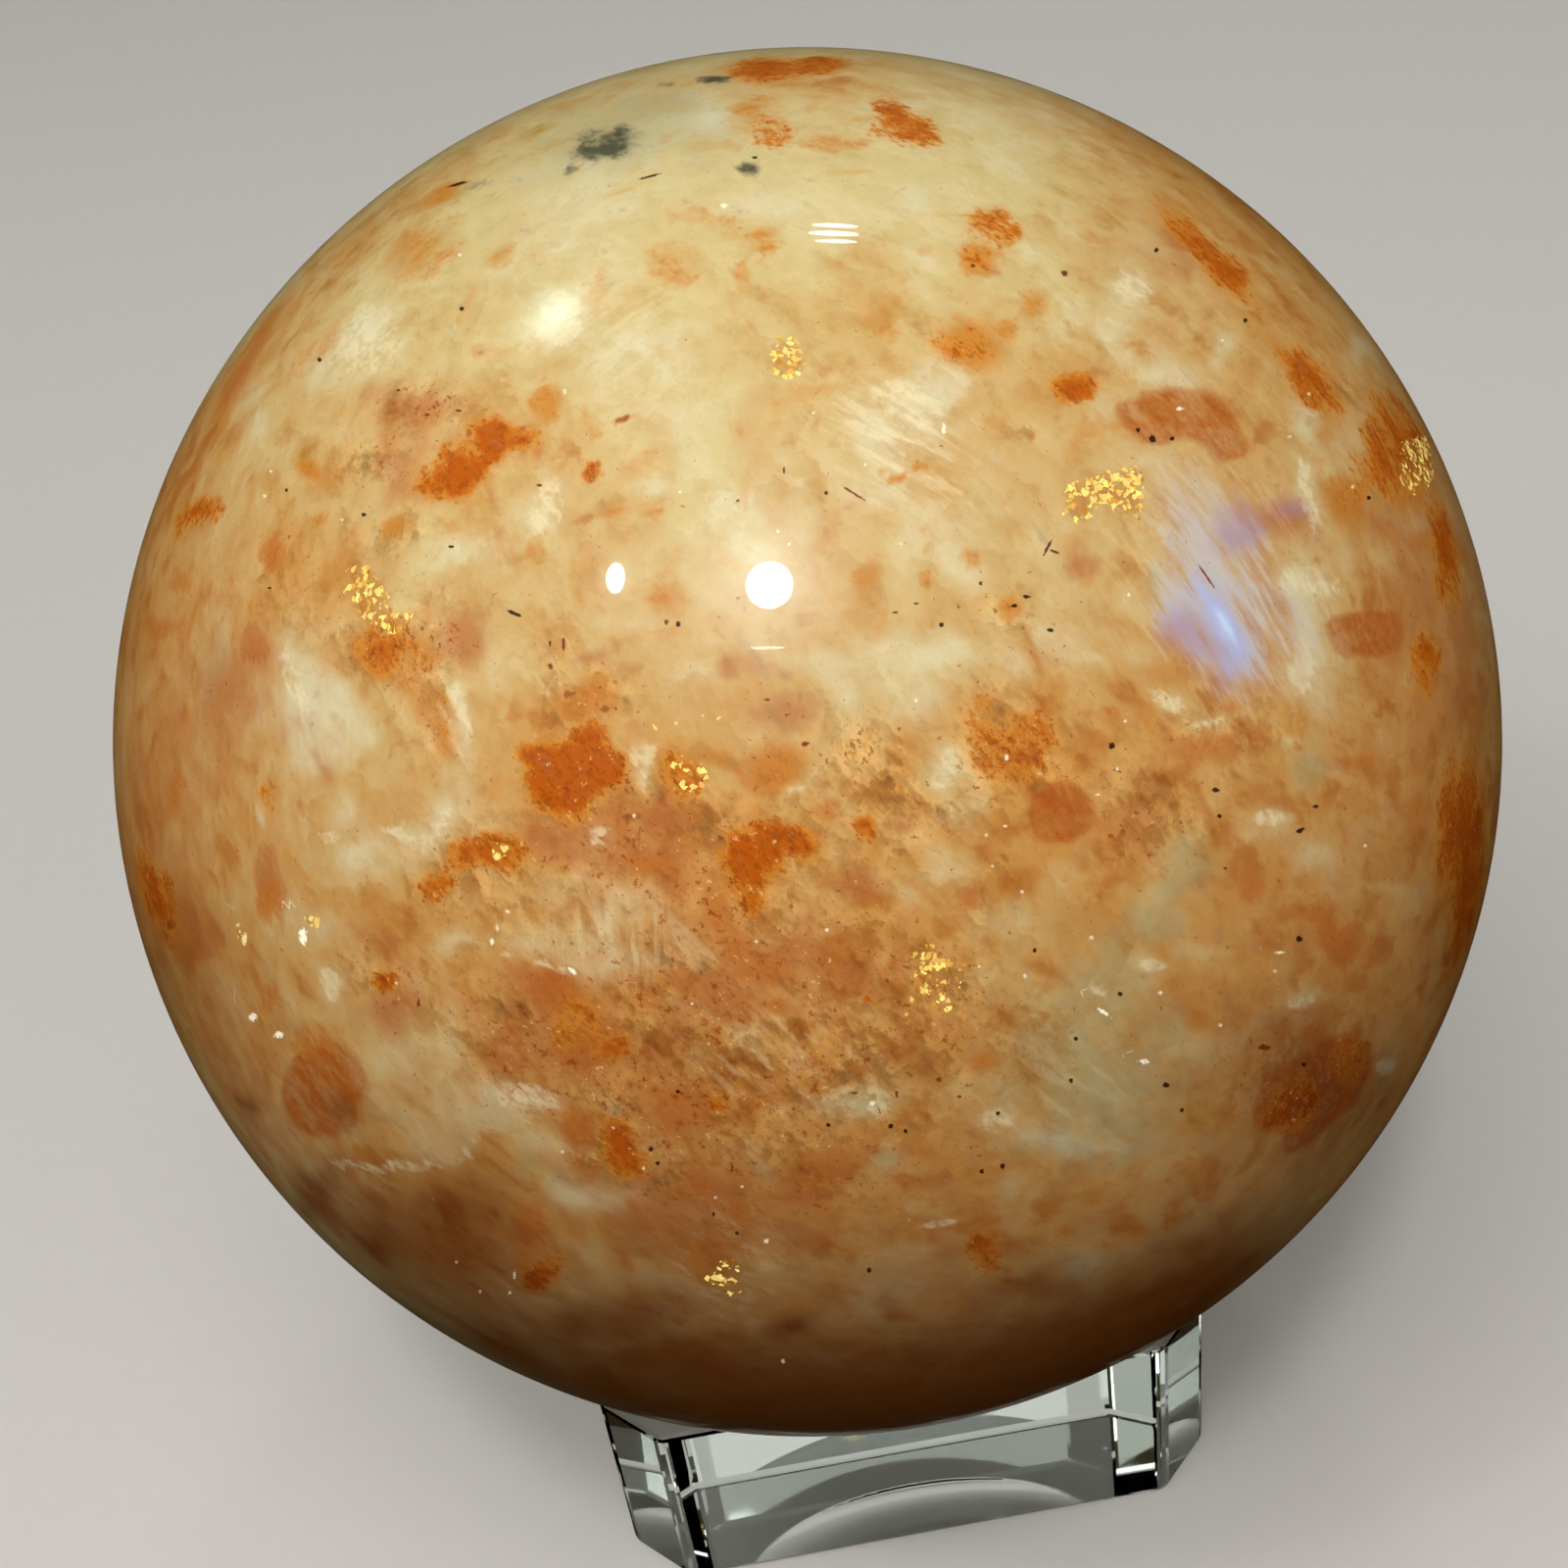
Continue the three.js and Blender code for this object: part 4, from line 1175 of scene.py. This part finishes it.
    # Ink, a crowd of flecks, and dots
    ink = w.rise(w.mixed(mark["ink"], (threads, 2.4), (mottle, 2.2)), -0.8, 1.1)
    colour = w.paint(w.times(ink, 0.9), colour, w.paint(ink, INK_PALE, INK))
    crowd = w.mixed(w.times(ground["crowd"], w.rise(mottle, -0.24, 0.1)), (rust, 0.25))
    grain = w.noise(w.squeezed(vector, FABRIC, 0.25), 4.0, 3, 0.75)
    limit = w.stretch(crowd, 0.0, 0.9, 0.7, 0.56)
    flecks = w.rise(w.less(grain, limit), 0.0, 0.05)
    fleck_tone = w.paint(w.rise(threads, -0.08, 0.08), DARK_RED, DASH)
    colour = w.paint(w.times(flecks, 0.75), colour, fleck_tone)
    ragged = w.noise(vector, 7.0, 2, 0.6)
    spots, spot_tone, spot_weight = drawn_spots(w, "spot", ragged, 0.55)
    weight = w.times(spots, w.stretch(spot_weight, 0.0, 0.15, 0.65, 0.95))
    colour = w.paint(weight, colour, w.paint(spot_tone, DARK_RED, SOOT))

    # Gold clusters, sparks and glints: the flakes' pale gold and the sparks are partly painted
    # glints, the glints wholly
    flakes = w.group(flakes_group(), vector=vector, level=mark["gold"])
    gold = w.paint(flakes["Tone"], GOLD_DEEP, GOLD_PALE)
    around = w.times(w.rise(w.mixed(mark["gold"], (fringe, 0.7)), -0.2, 0.8), 0.55)
    colour = w.paint(around, colour, w.paint(w.rise(crumbs, -0.1, 0.1), GOLD_GROUND, DASH))
    colour = w.paint(flakes["Flake"], colour, gold)
    glints, glint_tone, glint_shine = drawn_spots(w, "glint", ragged, 0.0)
    glint_colour = w.paint(glint_tone, GLINT_WHITE, GOLD_PALE)
    sparks = w.rise(w.less(w.less(0.93, grain), limit), 0.0, 0.05)
    colour = w.paint(w.times(sparks, 0.5), colour, SPARK)
    faint = w.stretch(glint_shine, 0.0, 0.5, 0.5, 1.0)
    colour = w.paint(w.times(glints, faint), colour, glint_colour)

    # Painted glints: what glows by itself, in place of flakes that catch a light, and a faint
    # painted glow at the flash's blue core
    painted_glint = w.times(flakes["Flake"], flakes["Shine"])
    glow = w.paint(w.times(painted_glint, 2.6), BLACK, w.paint(painted_glint, gold, GOLD_WHITE))
    glow = w.paint(w.times(glints, glint_shine), glow, glint_colour)
    glow = w.paint(w.times(core, 0.12), glow, BLUE_SHEEN_CORE)
    w.feed(shader.inputs["Base Color"], colour)
    w.feed(shader.inputs["Metallic"], w.times(flakes["Flake"], 0.3))
    dull = w.mixed(0.3, (crumbs, 0.04), (flakes["Flake"], -0.1))
    worn = w.group(haze_group(), vector=vector, amount=0.08, roughness=dull)
    w.feed(shader.inputs["Roughness"], worn["Roughness"])
    w.feed(shader.inputs["Emission Color"], glow)
    shader.inputs["Emission Strength"].default_value = settings.sparkle
    shader.inputs["Specular IOR Level"].default_value = 0.15
    shader.inputs["Subsurface Weight"].default_value = 0.2
    shader.inputs["Subsurface Radius"].default_value = (1.0, 0.55, 0.3)
    shader.inputs["Subsurface Scale"].default_value = 0.7 * MM
    shader.inputs["Coat Weight"].default_value = 0.45
    shader.inputs["Coat Roughness"].default_value = settings.polish
    shader.inputs["Coat IOR"].default_value = 1.4
    return material


def clear_material(settings):
    """Clear polished acrylic with the faint wear of handling."""
    material, w, shader = new_material("clear acrylic")
    vector = w.scaled(w.node("ShaderNodeTexCoord").outputs["Object"], 1 / MM)
    worn = w.group(haze_group(), vector=vector, amount=0.02, roughness=0.01)
    w.feed(shader.inputs["Roughness"], worn["Roughness"])
    cloud = w.noise(vector, 0.4, 3)
    w.feed(shader.inputs["Base Color"], w.paint(cloud, settings.clear, WHITE))
    shader.inputs["Transmission Weight"].default_value = 1.0
    shader.inputs["IOR"].default_value = ACRYLIC_IOR
    absorption = w.node("ShaderNodeVolumeAbsorption")
    absorption.inputs["Color"].default_value = settings.depth_tint
    absorption.inputs["Density"].default_value = settings.absorption
    output = w.tree.nodes["Material Output"]
    w.tree.links.new(absorption.outputs[0], output.inputs["Volume"])
    return material


def floor_material(colour):
    """A plain matt floor with a barely visible tooth."""
    material, w, shader = new_material("pale floor")
    vector = w.node("ShaderNodeTexCoord").outputs["Object"]
    tooth = w.noise(vector, 900.0, 3)
    darker = (*[0.96 * v for v in colour[:3]], 1.0)
    seen = w.paint(tooth, darker, tuple(colour))
    bounced = w.times(w.node("ShaderNodeLightPath").outputs["Is Diffuse Ray"], BOUNCE_CUT)
    w.feed(shader.inputs["Base Color"], w.paint(bounced, seen, BLACK))
    shader.inputs["Roughness"].default_value = 0.85
    shader.inputs["Specular IOR Level"].default_value = 0.2
    return material


def object_from(bm, name, material, smooth):
    """Turns a bmesh into an object at the origin."""
    for face in bm.faces:
        face.smooth = smooth
    mesh = bpy.data.meshes.new(name)
    bm.to_mesh(mesh)
    bm.free()
    mesh.materials.append(material)
    piece = bpy.data.objects.new(name, mesh)
    bpy.context.scene.collection.objects.link(piece)
    return piece


def ball_mesh(halvings):
    """A cube halved again and again, with its points spread evenly over the ball."""
    bm = bmesh.new()
    bmesh.ops.create_cube(bm, size=2.0)
    for _ in range(halvings):
        bmesh.ops.subdivide_edges(bm, edges=bm.edges[:], cuts=1, use_grid_fill=True)
    for vertex in bm.verts:
        even = Vector(math.tan(math.pi / 4 * v) for v in vertex.co)
        vertex.co = BALL_CENTRE + even.normalized() * BALL_RADIUS
    bmesh.ops.recalc_face_normals(bm, faces=bm.faces[:])
    return bm


def store_markings(mesh, seed, halvings):
    """Works out every level of the markings at the ball's vertices and stores them."""
    chance = random.Random(seed)
    noise.seed_set(seed)  # otherwise the noise vectors change with the time
    flat = np.zeros(len(mesh.vertices) * 3)
    mesh.vertices.foreach_get("co", flat)
    points = flat.reshape(-1, 3) - np.array(BALL_CENTRE)
    directions = points / np.linalg.norm(points, axis=1, keepdims=True)
    seen = directions @ TOWARDS_CAMERA > SEEN_LIMIT
    wandered = directions
    for size, amount, own_seed in WANDERINGS:
        wandered = wandering(wandered, size, amount, own_seed)
    pixels = CAMERA.pixels(wandered)
    levels = {}
    for kind, shown in SOFT_PATCHES.items():
        levels[kind] = soft_level(all_marks(kind, shown, chance), wandered)
    for kind, shown in CRISP_PATCHES.items():
        levels[kind] = crisp_level(all_marks(kind, shown, chance), wandered)
    for kind, corners, strength in OUTLINED:
        own = outline_level(corners, pixels, seen, strength)
        levels[kind] = np.maximum(levels[kind], own)
    white, tan, grey = levels["white"], levels["tan"], levels["grey"]
    drift = clouds(directions, *CLOUDS["drift"])
    levels["milk"] = 0.52 + 0.16 * drift + 0.6 * white - 0.4 * tan
    warm = levels["warm"] * (1 - 0.6 * white) * (1 - 0.5 * grey)
    levels["warm"] = warm + 0.12 * clouds(directions, *CLOUDS["warmth"])
    levels["grey"] = grey * (1 - 0.5 * white)
    for kind in ("shade", "strays", "blots"):
        levels[kind] = clouds(wandered, *CLOUDS[kind])
    levels["blots"] = levels["blots"] + 1.6 * levels["warm"] - 0.7
    rusty, amber = [np.clip(1 + levels[kind], 0, 1.5) for kind in ("rust", "amber")]
    stained = rusty**2 + 0.3 * amber
    levels["crowd"] = 0.35 * levels["blush"] + 0.3 * levels["warm"] + 0.12 * stained
    levels["crowd"] += 0.75 * levels["fleck"]
    for name, kinds in LEVEL_SETS.items():
        store(mesh, name, "FLOAT_COLOR", np.stack([levels[kind] for kind in kinds], axis=1))
    store(mesh, "fibre_place", "FLOAT_VECTOR", fibre_coordinates(directions))
    spacing = math.pi / 2 / 2**halvings
    for family, shown in (("spot", SPOTS), ("glint", GLINTS)):
        marks = []
        for patch in shown:
            size = {"wide": SPOT_SHARE * patch.wide, "high": SPOT_SHARE * patch.high}
            marks.append(photo_mark(patch._replace(**size)))
        for _ in range(UNSEEN_GRAINS):
            size = chance.uniform(*UNSEEN_GRAIN_SIZES)
            marks.append(unseen_mark(chance, size, chance.uniform(1, 3), chance.random()))
        for index, layer in enumerate(spot_layers(marks, spacing)):
            rows = spot_coordinates(layer, directions, spacing)
            store(mesh, f"{family}_{index}", "FLOAT_COLOR", rows)


class StoneSettings(bpy.types.PropertyGroup):
    """What a user might change on the stone ball"""

    halvings: IntProperty(
        name="Fineness", description="How often the ball's cube is halved", default=7, min=4, max=7
    )
    seed: IntProperty(name="Unseen markings", description="Seed of the far side", default=11)
    polish: FloatProperty(
        name="Polish", description="Roughness of the polished coat", default=0.01, min=0, max=1
    )
    # The sparkle is a painted glint: the flakes glow by themselves
    sparkle: FloatProperty(
        name="Sparkle", description="Brightness of the flakes' own glow", default=0.6, min=0
    )


class BlockSettings(bpy.types.PropertyGroup):
    """What a user might change on the clear block"""

    corner_cut: FloatProperty(
        name="Corner cut", description="Width of a cut corner along the sides", default=2.7 * MM,
        unit="LENGTH",
    )
    edge_break: FloatProperty(
        name="Edge break", description="Width of the polished edges", default=0.4 * MM,
        unit="LENGTH",
    )
    seat_gap: FloatProperty(
        name="Seat gap", description="Clear space under the ball", default=0.05 * MM,
        unit="LENGTH",
    )
    clear: FloatVectorProperty(
        name="Clear colour", description="Tint of the polished faces", size=4,
        default=(0.95, 0.97, 0.95, 1), subtype="COLOR",
    )
    depth_tint: FloatVectorProperty(
        name="Depth tint", description="Colour that light takes on inside", size=4,
        default=(0.72, 0.86, 0.76, 1), subtype="COLOR",
    )
    absorption: FloatProperty(
        name="Absorption", description="How fast light takes on the tint, per metre", default=12.0
    )


class StudioSettings(bpy.types.PropertyGroup):
    """What a user might change on the studio"""

    floor: FloatVectorProperty(
        name="Floor", description="Colour of the floor", default=srgb(208, 204, 198), size=4,
        subtype="COLOR",
    )
    brightness: FloatProperty(
        name="Brightness", description="Strength of all lamps", default=1.0, min=0
    )


class SUNSTONE_OT_ball(bpy.types.Operator):
    """Builds the polished stone ball"""

    bl_idname = "sunstone.ball"
    bl_label = "Stone ball"

    def execute(self, context):
        settings = context.scene.sunstone_stone
        mesh = ball_mesh(settings.halvings)
        ball = object_from(mesh, "sunstone_ball", stone_material(settings), True)
        store_markings(ball.data, settings.seed, settings.halvings)
        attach(ball, "root")
        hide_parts("sphere")
        return {"FINISHED"}


def block_outline(bm, half, cut, height):
    """The face of a square with cut corners, at a height."""
    side = half - cut
    corners = []
    for quarter in range(4):
        turn = Matrix.Rotation(math.radians(90 * quarter), 3, "Z")
        for x, y in ((side, -half), (half, -side)):
            corners.append(bm.verts.new(turn @ Vector((x, y, height))))
    return bm.faces.new(corners)


class SUNSTONE_OT_block(bpy.types.Operator):
    """Builds the clear block under the ball"""

    bl_idname = "sunstone.block"
    bl_label = "Clear block"

    def execute(self, context):
        settings = context.scene.sunstone_block
        bm = bmesh.new()
        half = (BLOCK_HIGH.x - BLOCK_LOW.x) / 2
        base = block_outline(bm, half, settings.corner_cut, BLOCK_LOW.z)
        grown = bmesh.ops.extrude_face_region(bm, geom=[base])["geom"]
        raised = [item for item in grown if isinstance(item, bmesh.types.BMVert)]
        lift = Vector((0, 0, BLOCK_HIGH.z - BLOCK_LOW.z))
        bmesh.ops.translate(bm, verts=raised, vec=lift)
        bmesh.ops.recalc_face_normals(bm, faces=bm.faces[:])
        bmesh.ops.bevel(
            bm, geom=bm.edges[:], offset=settings.edge_break, segments=3, profile=0.5,
            affect="EDGES", material=-1,
        )
        piece = object_from(bm, "clear_block", clear_material(settings), False)
        self.hollow_seat(context, piece, BALL_RADIUS + settings.seat_gap)
        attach(piece, "root")
        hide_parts("stand")
        return {"FINISHED"}

    def hollow_seat(self, context, piece, radius):
        """Cuts the ball's seat out of the block's top."""
        bm = bmesh.new()
        bmesh.ops.create_icosphere(bm, subdivisions=7, radius=radius)
        bmesh.ops.translate(bm, verts=bm.verts[:], vec=BALL_CENTRE)
        cutter = object_from(bm, "seat_cutter", piece.data.materials[0], True)
        cut = piece.modifiers.new("seat", "BOOLEAN")
        cut.operation = "DIFFERENCE"
        cut.object = cutter
        cut.solver = "EXACT"
        context.view_layer.update()
        depsgraph = context.evaluated_depsgraph_get()
        carved = bpy.data.meshes.new_from_object(piece.evaluated_get(depsgraph))
        piece.modifiers.clear()
        piece.data = carved
        bpy.data.objects.remove(cutter)


def lamp(name, place, axes, size, watts, glossy):
    """A round or oval lamp; its axes are its own right, up and back."""
    data = bpy.data.lights.new(name, "AREA")
    data.energy = watts
    data.shape = "ELLIPSE"
    data.size, data.size_y = size
    lit = bpy.data.objects.new(name, data)
    turn = Matrix([Vector(axis) for axis in axes]).transposed()
    lit.matrix_world = Matrix.Translation(place) @ turn.to_4x4()
    lit.visible_glossy = glossy
    lit.visible_camera = False
    bpy.context.scene.collection.objects.link(lit)
    return lit


def square_axes(back, up):
    """Right, up and back axes at right angles, with up as near to the given one as it goes."""
    back = unit(np.array(back))
    right = unit(np.cross(up, back))
    return right, np.cross(back, right), back


def soft_lamp(name, towards, width, watts):
    """A broad lamp that lights the ball from a direction, and isn't mirrored in it."""
    place = BALL_CENTRE + Vector(towards) * SOFT_LAMP_DISTANCE
    lamp(name, place, square_axes(towards, SOFT_LAMP_UP), (width, width), watts, False)


def mirrored_frame(x, y, wide, high):
    """Where to put what the ball mirrors there at that size: its place, axes, width and height."""
    back = mirrored(x, y)
    across = (mirrored(x + 1, y) - mirrored(x - 1, y)) / 2
    upward = (mirrored(x, y - 1) - mirrored(x, y + 1)) / 2
    steps = ((wide, across), (high, upward))
    size = [2 * LAMP_DISTANCE * pixels * np.linalg.norm(step) for pixels, step in steps]
    spot = BALL_CENTRE + Vector(CAMERA.direction(x, y)) * BALL_RADIUS
    return spot + Vector(back) * LAMP_DISTANCE, square_axes(back, upward), size


def mirrored_lamp(name, x, y, wide, high, watts):
    """A small lamp whose mirror image on the ball has that middle and those half sizes."""
    place, axes, size = mirrored_frame(x, y, wide, high)
    lamp(name, place, axes, size, watts, True)


def soft_glow(name, x, y, wide, high, strength):
    """A lamp that fades from its middle to its rim, seen only in mirror images."""
    place, axes, size = mirrored_frame(x, y, wide, high)
    glow = lamp(name, place, axes, size, strength * math.pi * size[0] * size[1], True)
    glow.visible_diffuse = False
    glow.visible_transmission = False
    glow.data.shape = "RECTANGLE"
    glow.data.use_nodes = True
    glow.data.color = GLOW_COLOUR
    w = Wiring(glow.data.node_tree)
    across = w.parts(w.node("ShaderNodeNewGeometry").outputs["Parametric"])
    off = [w.less(share, 0.5) for share in across[:2]]
    out = w.math("SQRT", w.add(w.times(off[0], off[0]), w.times(off[1], off[1])))
    fade = w.stretch(out, 0.0, 0.5, 1.0, 0.0)
    w.feed(glow.data.node_tree.nodes["Emission"].inputs["Strength"], w.times(fade, fade))


def mirrored(x, y):
    """The direction that the ball mirrors to the camera at a pixel."""
    normal = CAMERA.direction(x, y)
    view = unit(CAMERA.place - normal)
    return 2 * (normal @ view) * normal - view


# The small lamps that the ball mirrors: pixel, half width and half height there, and watts
MIRRORED_LAMPS = {
    "round_lamp": (785, 597, 25, 25, 0.5),
    "side_lamp": (628, 590, 10, 16, 0.13),
    "upper_bar": (852, 230, 24, 2.2, 0.03),
    "middle_bar": (851, 238, 27, 2.6, 0.04),
    "lower_bar": (853, 246, 22, 2.0, 0.025),
    "thin_lamp": (783, 661, 18, 1.6, 0.012),
}
# Fading lamps that it mirrors: pixel, half width and half height there, and strength
SOFT_GLOWS = {
    "round_glow": (785, 590, 110, 115, 26.0),
    "side_glow": (628, 592, 40, 50, 14.0),
    "upper_glow": (566, 320, 56, 46, 22.0),
}
GLOW_COLOUR = (0.78, 1.0, 0.88)
LAMP_DISTANCE = 0.45  # metres from the ball to the lamps that it mirrors

# The broad lamps: the pixel where the ball faces each, its width in metres, and watts
SOFT_LAMPS = {
    "soft_key": (620, 350, 0.7, 3.54),
    "right_fill": (1470, 760, 0.5, 1.15),
    "left_fill": (140, 660, 0.5, 0.8),
}
SOFT_LAMP_DISTANCE = 0.7
SOFT_LAMP_UP = (0.0, 0.3, 1.0)  # which way is up for them

FLOOR_RADIUS = 1.6
FLOOR_GAP = 0.02 * MM
BOUNCE_CUT = 0.85  # how much of the floor's own bounced light is left out
ROOM_COLOUR = (1.0, 0.97, 0.92, 1.0)
ROOM_LIGHT = 0.075
ROOM_LIGHT_IN_GLASS = 0.5  # how bright the room is where it is seen through the block
CLIP = (0.005, 20.0)  # the nearest and farthest that the camera sees, in metres


class SUNSTONE_OT_studio(bpy.types.Operator):
    """Builds the floor, the lamps and the camera"""

    bl_idname = "sunstone.studio"
    bl_label = "Studio"

    def execute(self, context):
        settings = context.scene.sunstone_studio
        self.floor(settings.floor)
        self.lamps(settings.brightness)
        self.camera(context)
        self.world(context)
        return {"FINISHED"}

    def floor(self, colour):
        bm = bmesh.new()
        bmesh.ops.create_circle(bm, cap_ends=True, segments=96, radius=FLOOR_RADIUS)
        bmesh.ops.translate(bm, verts=bm.verts[:], vec=(0, 0, -FLOOR_GAP))
        floor = object_from(bm, "floor", floor_material(colour), False)
        floor.visible_glossy = False

    def lamps(self, brightness):
        for name, (x, y, width, watts) in SOFT_LAMPS.items():
            soft_lamp(name, CAMERA.direction(x, y), width, watts * brightness)
        for name, (x, y, wide, high, watts) in MIRRORED_LAMPS.items():
            mirrored_lamp(name, x, y, wide, high, watts * brightness)
        for name, (x, y, wide, high, strength) in SOFT_GLOWS.items():
            soft_glow(name, x, y, wide, high, strength * brightness)

    def camera(self, context):
        data = bpy.data.cameras.new("camera")
        data.sensor_width = SENSOR_WIDTH
        data.lens = SENSOR_WIDTH * FOCAL_PIXELS / PHOTO_SIZE
        data.clip_start, data.clip_end = CLIP
        camera = bpy.data.objects.new("camera", data)
        right, down, forward = CAMERA.axes
        turn = Matrix([right, -down, -forward]).transposed()
        place = BALL_CENTRE + Vector(CAMERA.place) * BALL_RADIUS
        camera.matrix_world = Matrix.Translation(place) @ turn.to_4x4()
        context.scene.collection.objects.link(camera)
        context.scene.camera = camera

    def world(self, context):
        world = bpy.data.worlds.new("studio")
        world.use_nodes = True
        background = world.node_tree.nodes["Background"]
        background.inputs["Color"].default_value = ROOM_COLOUR
        w = Wiring(world.node_tree)
        through = w.node("ShaderNodeLightPath").outputs["Is Transmission Ray"]
        strength = w.stretch(through, 0.0, 1.0, ROOM_LIGHT, ROOM_LIGHT_IN_GLASS)
        w.feed(background.inputs["Strength"], strength)
        world.cycles_visibility.glossy = False
        context.scene.world = world
        context.scene.view_settings.view_transform = "Standard"


class SUNSTONE_PT_panel(bpy.types.Panel):
    """Lists the pieces and what can be changed on them"""

    bl_idname = "SUNSTONE_PT_panel"
    bl_label = "Sunstone"
    bl_space_type = "VIEW_3D"
    bl_region_type = "UI"
    bl_category = "Sunstone"

    def draw(self, context):
        groups = ("sunstone_studio", "sunstone_block", "sunstone_stone")
        for operator, group in zip(BUILDERS, groups):
            box = self.layout.box()
            settings = getattr(context.scene, group)
            for name in settings.bl_rna.properties.keys():
                if name not in ("rna_type", "name"):
                    box.prop(settings, name)
            box.operator(operator)


BUILDERS = ("sunstone.studio", "sunstone.block", "sunstone.ball")
SETTINGS = {
    "sunstone_stone": StoneSettings,
    "sunstone_block": BlockSettings,
    "sunstone_studio": StudioSettings,
}
CLASSES = (
    StoneSettings,
    BlockSettings,
    StudioSettings,
    SUNSTONE_OT_ball,
    SUNSTONE_OT_block,
    SUNSTONE_OT_studio,
    SUNSTONE_PT_panel,
)


def register():
    for made in CLASSES:
        bpy.utils.register_class(made)
    for name, group in SETTINGS.items():
        setattr(bpy.types.Scene, name, PointerProperty(type=group))


def unregister():
    for name in SETTINGS:
        delattr(bpy.types.Scene, name)
    for made in reversed(CLASSES):
        bpy.utils.unregister_class(made)


def main():
    register()
    bpy.ops.sunstone.studio()
    bpy.ops.sunstone.block()
    bpy.ops.sunstone.ball()


if __name__ == "__main__":
    main()
